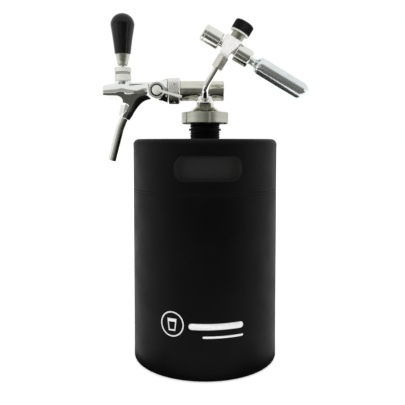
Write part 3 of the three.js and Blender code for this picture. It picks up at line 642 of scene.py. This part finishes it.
def grip_depth(angle, height):
    """How far the shell is pressed in at a point: one pill in front and one behind."""
    across = abs(from_grip(angle) * KEG_RADIUS) - GRIP_HALF[0] + GRIP_CORNER
    upward = abs(height - GRIP_HEIGHT) - GRIP_HALF[1] + GRIP_CORNER
    outside = hypot(max(across, 0), max(upward, 0)) + min(max(across, upward), 0) - GRIP_CORNER
    share = min(max((GRIP_LIP - outside) / (GRIP_LIP + GRIP_WALL), 0), 1)
    return GRIP_DEPTH * share ** 3 * (6 * share ** 2 - 15 * share + 10)


def seam_depth(height):
    """The rolled weld line round the shell: two fine grooves with a low bead between."""
    offset = abs(height - SEAM_HEIGHT)
    return 0.5 * exp(-(((offset - 1.5) / 0.5) ** 2)) - 0.12 * exp(-((offset / 0.9) ** 2))


def shell_angles():
    fine, coarse = radians(0.45), radians(2.5)
    angles, angle = [], 0.0
    while angle < 2 * pi - 0.5 * fine:
        angles.append(angle)
        angle += fine if abs(from_grip(angle)) < radians(30) else coarse
    return angles


def shell_profile():
    """Radius and height up the outside of the shell, closer together where it is shaped."""
    points = arc(KEG_RADIUS - FOOT_CORNER, KEG_FOOT + FOOT_CORNER, FOOT_CORNER, -90, 0, 13)
    bands = [(16, 208, 8), (210, 215.4, 0.2), (217, 223, 2), (224, 258.6, 0.55), (260, KEG_TOP - SHOULDER, 2)]
    for start, stop, step in bands:
        points += [(KEG_RADIUS, height) for height in np.arange(start, stop, step)]
    points += arc(KEG_RADIUS - SHOULDER, KEG_TOP - SHOULDER, SHOULDER, 0, 90, 13)
    points += [(radius, KEG_TOP) for radius in np.linspace(KEG_RADIUS - SHOULDER - 2, NECK_HOLE, 12)]
    return points


def outer_shell():
    angles, profile = shell_angles(), shell_profile()
    vertices, pressed = [], []
    for radius, height in profile:
        for angle in angles:
            reach = radius
            if radius > KEG_RADIUS - 0.01:
                reach -= grip_depth(angle, height) + seam_depth(height)
            vertices.append(round_axis(reach, angle, height))
            # Painted sheen: the grip recesses are marked for a lighter tone, fuller the deeper they are pressed.
            near_grip = abs(height - GRIP_HEIGHT) < GRIP_SHEEN_ROWS
            pressed.append((KEG_RADIUS - reach) / GRIP_SHEEN_FULL if near_grip else 0)
    faces = skin(numbered_rows(len(profile), len(angles)), False)
    mesh = mesh_from("outer_shell_fine", vertices, faces)
    mesh.attributes.new(GRIP_SHEEN, "FLOAT", "POINT").data.foreach_set("value", pressed)
    piece = standing_for("outer_shell", mesh, "up", BLACK, 60)
    wall = piece.modifiers.new("wall", "SOLIDIFY")
    wall.thickness, wall.offset = WALL * MM, -1


def base_cap():
    radius, low, high = extent("base_cap", "up")
    plate = high - 0.8
    turned("base_cap", "up", [
        (0, low), (61.5, low, 1), (62.8, low + 0.8, 0.8), (69.2, low + 0.8, 0.8), (70.2, low, 1),
        (radius, low, 0.6), (radius, plate, 0.3), (70.4, plate), (69.6, high), (62.4, high),
        (61.6, plate), (0, plate),
    ], BLACK, 160)


def neck_ring():
    crest, low, high = extent("neck_ring", "up")
    root, bore, pitch, step = 18, 16.2, 3.0, 0.3
    flange_foot, flange_top = 285.5, 288.1
    threads = ((KEG_TOP + 0.8, flange_foot - 0.9), (flange_top + 0.9, high - 1.2))

    def thread(radius, height, angle):
        if abs(radius - root) > 0.01:
            return radius
        for start, stop in threads:
            if start < height < stop:
                turn = (height / pitch - angle / (2 * pi)) % 1
                ridge = min(max(1.5 - abs(turn - 0.5) * 4.4, 0), 1)
                fade = min((height - start) / 1.2, (stop - height) / 1.2, 1)
                return radius + 0.9 * ridge * fade
        return radius

    below = [(root, height) for height in np.arange(KEG_TOP + 0.5, flange_foot - 0.2, step)]
    above = [(root, height) for height in np.arange(flange_top + 0.3, high - 1, step)]
    turned("neck_ring", "up", [
        (bore, low), (root, low), *below, (root, flange_foot), (crest, flange_foot, 0.5),
        (crest, flange_top, 0.5), (root, flange_top), *above, (root - 0.6, high, 0.3), (bore, high, 0.4),
    ], BLACK, 144, thread)


def collar_ring():
    radius, low, high = extent("collar_ring", "up")
    groove, first = 1.15, radians(-80)

    def grooved(reach, height, angle):
        if reach < radius - 1.6:
            return reach
        side = abs(from_nearest(angle - first, 6)) * radius
        return reach - max(sqrt(max(groove ** 2 - side ** 2, 0)) - 0.15, 0)

    turned("collar_ring", "up", [
        (19.6, low, 0.3), (radius - 1.5, low, 0.4), (radius, low + 1.5, 0.5), (radius, high - 0.8, 0.3),
        (radius - 0.8, high, 0.3), (25, high, 0.2), (25, high - 0.4), (26, high - 0.4), (26, high - 1.8),
        (25, high - 1.8), (25, high - 3.8), (19.6, high - 3.8, 0.3),
    ], BRUSHED, 480, grooved)


outer_shell()
base_cap()
neck_ring()
collar_ring()
washer("collar_snap_ring", "up", 23.3, (0.2,) * 4, STEEL, 144)


# ---- head

def bored(field, *holes):
    for hole in holes:
        field = np.maximum(field, -hole)
    return field


def head_field(x, y, z):
    tap = TAP_HEIGHT / MM
    from_axis, from_tap = np.hypot(x, y), np.hypot(y, z - tap)
    low = 305
    heights = [low, 306.7, 306.75, 308.5, 315, 316.4, 330]
    stem_radius = np.interp(z, heights, [24.5, 24.5, 22.4, 21.9, 12.9, 11.1, 11.1])
    stem = capped((from_axis - stem_radius) * 0.85, z, low, 331, 0.4)
    tube_radius = np.where(x < -30.7, 11.4, 12.7)
    cross_tube = capped(from_tap - tube_radius, x, -40, 23.7, 0.9)
    foot, out = GAS_FOOT / MM, GAS_AXIS
    along = (y - foot.y) * out.y + (z - foot.z) * out.z
    aside = np.hypot(x, (y - foot.y) * out.z - (z - foot.z) * out.y)
    return bored(
        blended(stem, cross_tube, 3.2),
        capped(from_tap - 9.5, x, -42, 18),
        capped(from_axis - 15.5, z, 300, 307),
        capped(from_axis - 6.7, z, 300, 309.2),
        capped(from_axis - 5.05, z, 300, 315.9),
        capped(from_axis - 4, z, 300, tap),
        capped(aside - 4.9, along, -3, 9),
        capped(aside - 2, along, -8, 0),
    )


def dip_tube():
    washer("dip_tube", "up", 3.75, (0.3,) * 4, STEEL, 64)
    corner, low, high = extent("dip_tube_nut", "up")
    turned("dip_tube_nut", "up", [
        (5.05, low), (corner - 1.2, low), (corner, low + 0.8), (corner, high - 0.8), (corner - 1.2, high),
        (5.05, high),
    ], STEEL, 96, hexagon(16), step=0.3)
    washer("head_gasket", "up", 16.5, (0.4,) * 4, RUBBER)


NUT_HOLE_TURN = radians(62)


def coupling_nut():
    radius, low, high = extent("coupling_nut", "tap")
    middle = (low + high) / 2

    def knurl(reach, height, angle):
        if reach < radius - 0.02 or not low + 1.5 < height < high - 1.5:
            return reach
        wave = 0.5 - 0.5 * cos(84 * angle)
        hole = hypot(from_nearest(angle - NUT_HOLE_TURN, 4) * radius, height - middle - 0.8)
        if hole < 1.6:
            return reach - 2.6
        return reach - 0.28 * wave * min((hole - 1.6) / 0.8, 1)

    turned("coupling_nut", "tap", [
        (12.4, low, 0.3), (radius - 1.2, low, 0.4), (radius, low + 1.2, 0.4), (radius, high - 1.2, 0.4),
        (radius - 1.2, high, 0.4), (13, high, 0.3), (13, high - 1), (11.8, high - 1), (11.8, -39.5),
        (13.6, -39.5), (13.6, -44), (12.4, -44),
    ], CHROME, 672, knurl, step=0.45)


formed("head_body", "up", head_field, (-41, -25.5, 304), (24.7, 25.5, 349), 0.45, POLISHED_STEEL)
dip_tube()
coupling_nut()


# ---- tap

SOCKET_END = Vector((-102.2, 0, 301.2))
SOCKET_UP = (Vector((-87.5, 0, 335)) - SOCKET_END).normalized()
SPOUT_TIP = Vector((-118.1, 0, 247.6))
SPOUT_RUN, SPOUT_DEPTH, SPOUT_RADIUS = 12.9, 12, 5.2
BARREL = smooth_curve([
    (-127.6, 8.9), (-125, 9.5), (-120, 10.4), (-114, 11.1), (-108, 11.4), (-95, 11.4), (-78, 11.3),
    (-70, 11.4), (-62, 12.1), (-55, 13.4), (-50, 14.9), (-46.9, 15.7),
])
SOCKET = smooth_curve([(0, 7.5), (3, 8.2), (6, 8.8), (14, 9.9), (24, 11.6), (34, 12)])
DROOP = tan(radians(2.1))
BOSS_RING_FOOT = 348.1


def faucet_field(x, y, z):
    tap = TAP_HEIGHT / MM
    lever_x, flow_x, pivot = LEVER_PIVOT.x / MM, FLOW_PIVOT.x / MM, LEVER_PIVOT.z / MM
    sag = np.maximum(-75 - x, 0) * DROOP
    from_axis, from_tap = np.hypot(y, z - tap + sag), np.hypot(y, z - tap)
    from_lever = np.hypot(x - lever_x, y)
    from_flow = np.hypot(x - flow_x, z - tap)
    along = (x - SOCKET_END.x) * SOCKET_UP.x + (z - SOCKET_END.z) * SOCKET_UP.z
    aside = (x - SOCKET_END.x) * SOCKET_UP.z - (z - SOCKET_END.z) * SOCKET_UP.x
    flatten = 1 + 0.22 * np.clip((along - 10) / 14, 0, 1)
    barrel = capped(from_axis - BARREL(x), x, -127.6, -46.9, 0.6)
    tail_radius = np.where((x > -44.1) & (x < -42.4), 11.2, 12.0)
    tail = capped(from_tap - tail_radius, x, -50, -41.5, 0.3)
    boss = capped(from_lever - np.interp(z, [336, 344, 348], [10.8, 9.8, 9.7]), z, 334, 347.7, 0.3)
    boss_ring = capped(from_lever - 10.2, z, BOSS_RING_FOOT, 356.2, 0.6)
    neck = capped(from_lever - 9.3, z, 345, 349, 0.1)
    flow_boss = capped(from_flow - 10.5, -y, 0, 14.5, 0.9)
    socket = capped(np.hypot(aside, y * flatten) - SOCKET(along), along, 0, 34, 0.7)
    body = blended(blended(barrel, socket, 11), blended(boss, flow_boss, 0.1), 3.4)
    body = np.minimum(np.minimum(body, tail), np.minimum(boss_ring, neck))
    arch = 343.9 + 0.7 * (1 - ((x - lever_x) / 4) ** 2)
    vent = np.maximum(np.maximum(abs(x - lever_x) - 4, abs(z - arch) - 1.3), np.maximum(y, 8.4 - from_lever))
    return bored(
        body, vent,
        capped(from_tap - 7, x, -118, -84),
        capped(from_tap - 5, x, -86, -78),
        capped(from_tap - 9, x, -80, -40),
        np.sqrt(from_lever ** 2 + (z - pivot) ** 2) - 7.5,
        capped(from_lever - 7.5, z, pivot, 360),
        capped(from_lever - 6.4, z, 348.6, 351.3),
        np.maximum(np.maximum(abs(x - lever_x - 2.2) - 5.6, abs(y) - 3.2), abs(z - 344) - 8),
        capped(from_flow - 7.6, -y, 10.8, 18),
        capped(from_flow - 4.3, -y, 4, 14),
        capped(np.hypot(aside, y) - SPOUT_RADIUS - 0.2, along, -2, SPOUT_DEPTH),
        capped(np.hypot(aside, y) - 4.2, along, 4, 34),
    )


def satin_above(piece, height):
    """Gives the faces above a height the satin plate of the rings they meet."""
    piece.data.materials.append(SATIN)
    for face in piece.data.polygons:
        face.material_index = int(face.center.z > height * MM)


def spout_tube():
    inside = SOCKET_END + SOCKET_UP * (SPOUT_DEPTH - 0.3)
    corner = SOCKET_END - SOCKET_UP * SPOUT_RUN
    path = rail([point * MM for point in (inside, corner, SPOUT_TIP)], [45 * MM])
    mesh = swept_tube("spout_tube_fine", path, SPOUT_RADIUS * MM, 4.2 * MM)
    even_normals(standing_for("spout_tube", mesh, "up", CHROME))


def flow_lever_field(x, y, z):
    """Local frame: z points to the front, y along +X and x down."""
    from_axis = np.hypot(x, y)
    profile = np.interp(z, [8, 9.2, 9.25, 10.5, 10.55, 11.1, 11.15, 12.1, 12.15, 20],
                        [4, 4, 2.8, 2.8, 4, 4, 7, 7, 5.9, 5.9])
    dome = np.sqrt(from_axis ** 2 + (z - 12.6) ** 2) - 7.4
    hub = np.maximum(capped(from_axis - profile, z, 8.6, 20.2, 0.2), np.where(z > 15, dome, -1))
    pin = capped(np.hypot(x - 1.3, y + 2.25) - 1.4, z, 6.2, 9, 0.1)
    start, end = np.array((0.7, 2.5, 17)), np.array((8.6, 29.6, 21.6))
    run = end - start
    offset = [x - start[0], y - start[1], z - start[2]]
    share = np.clip(sum(part * step for part, step in zip(offset, run)) / (run @ run), 0, 1)
    gap = np.sqrt(sum((part - share * step) ** 2 for part, step in zip(offset, run)))
    handle = gap - (1.35 + 0.65 * share ** 1.4)
    return np.minimum(blended(hub, handle, 1.6), pin)


def flow_lever_parts():
    formed("flow_lever", "flow", flow_lever_field, (-8, -8, 5), (13, 34, 25), 0.22, SATIN)
    washer("flow_lever_nut", "flow", 6.1, (0, 0, 0.3, 0.3), PLASTIC, 72)


def tap_lever():
    radius, low, high = extent("lever_collar", "lever")
    turned("lever_collar", "lever", [
        (6.95, low), (radius, low, 0.5), (radius, high, 0.5), (radius - 0.6, high, 0.2), (5.5, low + 2, 0.4),
        (6.3, low + 1),
    ], SATIN)
    washer("friction_washer", "lever", 7.5, (0, 0.5, 0.5, 0), NYLON)
    pivot = LEVER_PIVOT.z / MM
    tap = TAP_HEIGHT / MM
    turned("lever_ball", "lever", [
        (0, tap - 2.7), *arc(0, tap, 2.7, -89, 34, 12), *arc(0, pivot, 7.2, -72, 65, 24),
        (3, 398, 0.4), (0, 398),
    ], CHROME, 64)
    radius, low, high = extent("handle_ferrule", "lever")
    turned("handle_ferrule", "lever", [
        (3.3, low), (5.6, low, 0.3), (6.3, low + 0.9, 0.6), (6.6, low + 4, 2), (radius - 0.3, high - 1, 2),
        (radius, high - 0.4, 0.3), (radius - 0.3, high), (3.3, high),
    ], BRUSHED)


def handle_grip():
    radius, low, high = extent("handle_grip", "lever")
    crown = radius - 0.4
    side = smooth_curve([(low, 10), (low + 6, 10.6), (low + 13, 11.5), (low + 21, 12.6), (low + 29, 13.9),
                         (high - crown, 15)])
    rise = [(float(side(height)), height) for height in np.linspace(low + 0.8, high - crown, 24)]
    turned("handle_grip", "lever", [
        (3.3, low), (9.5, low, 0.4), *rise, *arc(0.4, high - crown, crown, 6, 84, 16),
        (0, high), (0, 400), (3.3, 399),
    ], PLASTIC)


faucet = formed("faucet_body", "up", faucet_field, (-130.5, -17, 299), (-40.5, 17, 357.5), 0.42, CAST_CHROME)
satin_above(faucet, BOSS_RING_FOOT)
spout_tube()
flow_lever_parts()
tap_lever()
handle_grip()


# ---- gas arm

def gas_port():
    corner, low, high = extent("gas_port", "gas")
    foot, top = 1.5, 11
    turned("gas_port", "gas", [
        (1.8, low), (4.6, low, 0.2), (4.6, foot), (corner - 1, foot), (corner, foot + 0.8),
        (corner, top - 0.8), (corner - 1, top), (5.2, top), (5.2, high, 0.3), (1.8, high),
        (1.8, 8.9), (3.1, 8.9), (3.1, 1), (1.8, 1),
    ], DARK_NICKEL, 120, hexagon(14.1, pi / 6), step=0.3)
    radius, low, high = extent("gas_swivel_nut", "gas")
    turned("gas_swivel_nut", "gas", [
        (5.5, low), (radius - 0.7, low, 0.2), (radius, low + 0.7, 0.3), (radius, high - 0.7, 0.3),
        (radius - 0.7, high, 0.2), (4.3, high, 0.3), (4.3, high - 1.3), (5.5, high - 1.3),
    ], TURNED_CHROME, 120)


def gas_tube():
    start = GAS_FOOT + GAS_AXIS * 13.3 * MM
    end = ELBOW + ARM_AXIS * 35.9 * MM
    mesh = swept_tube("gas_tube_fine", rail([start, ELBOW, end], [15 * MM]), 4 * MM, 2.6 * MM)
    even_normals(standing_for("gas_tube", mesh, "up", CHROME))


def outlet_nut():
    corner, low, high = extent("outlet_nut", "block")
    turned("outlet_nut", "block", [
        (4.3, low), (corner - 1.1, low, 0.2), (corner, low + 0.9), (corner, high - 0.9),
        (corner - 1.1, high, 0.2), (5.8, high), (5.8, low + 7.5), (4.3, low + 7.5),
    ], NICKEL, 120, hexagon(corner * 2 * cos(pi / 6)), step=0.3)


BLOCK_OUTLINE = [(-6.2, -10.6), (2.9, -10.6), (8.9, 2.4), (9.7, 12), (-10.3, 12), (-10, 2.4)]
BLOCK_HALF_DEPTH = 11
SPIGOT_FOOT = extent("regulator_block", "block")[1]


def block_field(x, y, z):
    outline = np.full(x.shape, -1e3)
    for (x1, z1), (x2, z2) in zip(BLOCK_OUTLINE, BLOCK_OUTLINE[1:] + BLOCK_OUTLINE[:1]):
        length = hypot(x2 - x1, z2 - z1)
        outline = np.maximum(outline, ((x - x1) * (z2 - z1) - (z - z1) * (x2 - x1)) / length)
    ends = abs(y) - BLOCK_HALF_DEPTH
    chamfer = (outline + ends + 1.6) / sqrt(2)
    block = np.maximum(np.maximum(outline, ends), chamfer)
    spigot = capped(np.hypot(x, y) - 5.5, z, SPIGOT_FOOT, -9, 0.3)
    from_knob, from_cartridge = np.hypot(x - 1.9, y), np.hypot(y, z)
    return bored(
        np.minimum(block, spigot),
        capped(np.hypot(x, y) - 2.5, z, -22, -3),
        capped(from_knob - 7.3, z, 6.3, 14),
        capped(from_knob - 2, z, -1.5, 8),
        capped(from_cartridge - 5.3, x, -13, -5),
        capped(from_cartridge - 5.3, x, 2.7, 14),
    )


def regulator_top():
    radius, low, high = extent("regulator_bonnet", "knob")
    # The bonnet takes the darker nickel: painted shade under the knob and its ring.
    turned("regulator_bonnet", "knob", [
        (5.2, low), (7, low), (7, 12.3), (radius, 12.3, 0.3), (radius, high, 0.5), (3.4, high), (3.4, 16),
        (5.2, 16),
    ], DARK_NICKEL)
    washer("bonnet_ring", "knob", 3.6, (0, 0.5, 0.5, 0), SATIN)
    radius, low, high = extent("regulator_knob", "knob")
    turned("regulator_knob", "knob", [
        (3.4, low), (radius - 0.5, low, 0.2), (radius, low + 0.6, 0.2), (radius, high - 2.2),
        (radius - 0.35, high - 1.1), (radius - 1.1, high - 0.35), (radius - 2.4, high, 0.6),
        (radius - 4, high, 0.3), (radius - 4.6, high - 0.5, 0.3), (0, high - 0.5), (0, high - 4),
        (3.4, high - 4),
    ], PLASTIC, 432, ridges(54, 0.5, low + 0.8, high - 1.0, radius), step=0.8)


def spring(node):
    """A steel copy of the CAD node's spring that stands for the node."""
    mesh = frame["nodes"][node].data.copy()
    mesh.name = f"{node}_fine"
    mesh.materials.clear()
    piece = standing_for(node, mesh, "up", STEEL)
    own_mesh(piece)


def inlet_socket():
    radius, low, high = extent("inlet_socket", "inlet")
    turned("inlet_socket", "inlet", [
        (2, low), (5, low), (5, 10), (radius - 0.7, 10, 0.2), (radius, 10.7, 0.4), (radius, high - 2.6, 1.4),
        (radius - 1.2, high - 0.8, 1), (radius - 2.6, high, 0.8), (5.1, high, 0.8), (5.1, 12.7), (2, 12.7),
    ], TURNED_CHROME)


def cartridge():
    radius, low, high = extent("co2_cartridge", "inlet")
    neck, wall, tail = 4.75, 1.2, high - 10.7
    shoulder = smooth_curve([(34.2, neck), (36.2, 5.6), (38.4, 7.9), (40.4, 9.7), (42.6, 10.5), (45, radius)])
    rise = [(float(shoulder(height)), height) for height in np.linspace(34.2, 45, 18)]
    end = [(radius * cos(a), tail + 10.7 * sin(a)) for a in np.radians(np.linspace(6, 84, 16))]
    hollow = [((radius - wall) * cos(a), tail + 9.5 * sin(a)) for a in np.radians((84, 60, 30, 0))]
    turned("co2_cartridge", "inlet", [
        (1.3, low), (neck - 0.5, low, 0.2), (neck, low + 0.5, 0.2), (neck, 33, 0.2), (neck + 0.35, 33.4, 0.2),
        *rise, (radius, 60), (radius, 80), *end, (0, high), (0, high - wall), *hollow,
        (9.5, 44), (2.9, 35.6), (1.3, 30),
    ], ZINC, 128)


def gauge():
    radius, low, high = extent("gauge_case", "gauge")
    turned("gauge_case", "gauge", [
        (1.5, low), (5, low), (5, 12), (radius - 0.9, 12, 0.3), (radius, 12.9, 0.5),
        (radius, high - 4.6, 0.1), (radius - 0.25, high - 4.3, 0.1), (radius - 0.25, high - 3.9, 0.1),
        (radius, high - 3.6, 0.1), (radius, high - 1.2, 1), (radius - 1.2, high, 0.6), (9.7, high, 0.3),
        (9.7, 27), (1.5, 27),
    ], TURNED_CHROME)
    washer("gauge_dial", "gauge", 0, (0, 0, 0.2, 0), DIAL)
    radius, low, high = extent("gauge_lens", "gauge")
    turned("gauge_lens", "gauge", [
        (0, low), (radius, low, 0.2), (radius, high, 0.3), (6, high), (0, high),
    ], LENS)


def strip(name, corners, height, thick):
    """A thin printed plate on the dial with the given outline, in millimetres, raised off a height."""
    vertices = [(x * MM, y * MM, z * MM) for z in (height, height + thick) for x, y in corners]
    bottom, top = numbered_rows(2, len(corners))
    faces = [bottom[::-1], top, *skin([bottom, top], False)]
    return finished(name, mesh_from(name, vertices, faces), PLACES["gauge"], BODY_OF["gauge_dial"], DARK_INK)


def dial_marks():
    """Eleven ticks over 270 degrees. In this frame x points down and y to the back."""
    face = extent("gauge_dial", "gauge")[2]
    for index in range(11):
        angle = radians(225 - 27 * index)
        inner, half = (6.0, 0.28) if index % 5 == 0 else (7.0, 0.16)
        along = Vector((sin(angle), cos(angle)))
        start, end = along * inner, along * 8.4
        side = Vector((along.y, -along.x)) * half
        corners = [start - side, end - side, end + side, start + side]
        tick = strip(f"dial_tick_{index}", corners, face + 0.02, 0.08)


gas_port()
spring("check_spring")
gas_tube()
outlet_nut()
formed("regulator_block", "block", block_field, (-11.5, -12, -21.5), (11, 12, 13), 0.3, BLASTED, 30)
regulator_top()
spring("regulator_spring")
inlet_socket()
cartridge()
gauge()
dial_marks()


# ---- print on the shell

BADGE_RADIUS = KEG_RADIUS + 0.02
BADGE_CENTRE = (-39, 65)


def wrapped_plate(name, outline, hole=()):
    """A thin printed shape laid round the shell. Outlines are (arc, height) points in millimetres."""
    bm = bmesh.new()
    edges = []
    for loop in (outline, hole):
        corners = [bm.verts.new((x, y, 0)) for x, y in loop]
        edges += [bm.edges.new((corners[i], corners[(i + 1) % len(corners)])) for i in range(len(corners))]
    bmesh.ops.triangle_fill(bm, use_beauty=True, edges=edges)
    for cut in np.arange(-60, 60, 3):
        geometry = bm.verts[:] + bm.edges[:] + bm.faces[:]
        bmesh.ops.bisect_plane(bm, geom=geometry, plane_co=(cut, 0, 0), plane_no=(1, 0, 0))
    bmesh.ops.recalc_face_normals(bm, faces=bm.faces[:])
    if bm.faces and bm.faces[0].normal.z < 0:
        bmesh.ops.reverse_faces(bm, faces=bm.faces[:])
    for vertex in bm.verts:
        vertex.co = round_axis(BADGE_RADIUS, vertex.co.x / KEG_RADIUS - pi / 2, vertex.co.y)
    mesh = bpy.data.meshes.new(name)
    bm.to_mesh(mesh)
    bm.free()
    piece = finished(name, mesh, PLACES["up"], "keg", INK, 80)
    film = piece.modifiers.new("film", "SOLIDIFY")
    film.thickness, film.offset = 0.1 * MM, 1
    return piece


def circle(x, y, radius):
    return arc(x, y, radius, 0, 360, 65)[:-1]


def bar(left, right, middle, thick):
    """A bar with round ends."""
    half = thick / 2
    return arc(right - half, middle, half, -90, 90, 9) + arc(left + half, middle, half, 90, 270, 9)


def badge():
    """A plain roundel with a drinking glass, and two bars beside it. It stands for no maker."""
    x, y = BADGE_CENTRE
    wrapped_plate("badge_ring", circle(x, y, 14.5), circle(x, y, 13.1))
    glass = [(x - 5.8, y + 6.4), (x + 5.8, y + 6.4), (x + 4.1, y - 7.6), (x - 4.1, y - 7.6)]
    inner = [(x - 4.2, y + 2.8), (x + 4.2, y + 2.8), (x + 3.1, y - 6.1), (x - 3.1, y - 6.1)]
    wrapped_plate("badge_glass", glass, inner)
    wrapped_plate("badge_bar_wide", bar(x + 20, x + 84, y - 1, 7))
    wrapped_plate("badge_bar_thin", bar(x + 36, x + 84, y - 13, 2.4))


badge()


# ---- stage, light and camera

def stage_plane(name, centre, size, **finish):
    bpy.ops.mesh.primitive_plane_add(size=1, location=centre)
    plane = bpy.context.object
    plane.name = name
    plane.scale = (*size, 1)
    plane.data.materials.append(surface(f"{name}_finish", **finish))
    return plane


def card(name, centre, size, facing_to, color):
    """A studio card that only shows in reflections."""
    panel = stage_plane(name, centre, size, color=(0, 0, 0), roughness=1.0, Specular_IOR_Level=0.0,
                        Emission_Color=(*color, 1), Emission_Strength=1.0)
    panel.rotation_mode = "QUATERNION"
    panel.rotation_quaternion = (Vector(facing_to) - Vector(centre)).to_track_quat("Z", "Y")
    panel.visible_camera = False
    panel.visible_diffuse = False
    panel.visible_shadow = False


def studio():
    """A white room, grey towards the camera, with a dark warm space behind it and over the table."""
    world = bpy.data.worlds.new("studio")
    bpy.context.scene.world = world
    world.use_nodes = True
    world.node_tree.nodes["Background"].inputs["Color"].default_value = (1, 1, 1, 1)
    card("room_front", (0.2, -2.3, 0.75), (5.2, 2.1), (0.2, 0, 0.75), (0.42, 0.42, 0.41))
    card("room_behind_camera", (0.9, -1.6, 0.46), (2.1, 1.0), (0.9, 0, 0.46), (0.15, 0.148, 0.13))
    card("table_front", (0.15, -0.95, 0.001), (2.7, 1.3), (0.15, -0.95, 1), (0.085, 0.084, 0.072))
    card("contact_shade", (0, 0, 0.0008), (0.2, 0.2), (0, 0, 1), (0.004, 0.004, 0.004))


def photo_camera():
    data = bpy.data.cameras.new("camera")
    camera = bpy.data.objects.new("camera", data)
    bpy.context.scene.collection.objects.link(camera)
    camera.location = (-0.0031, -0.68, 0.2715)
    camera.rotation_euler = (radians(87), 0, 0)
    data.sensor_width = 36
    data.lens = 47.6
    data.shift_y = -0.0805
    bpy.context.scene.camera = camera


stage_plane("floor", (0, 0, 0), (60, 60), color=(0.8, 0.8, 0.8), roughness=0.9,
            Emission_Color=(1, 1, 1, 1), Emission_Strength=0.55)
studio()
photo_camera()
bpy.context.scene.view_settings.view_transform = "Standard"
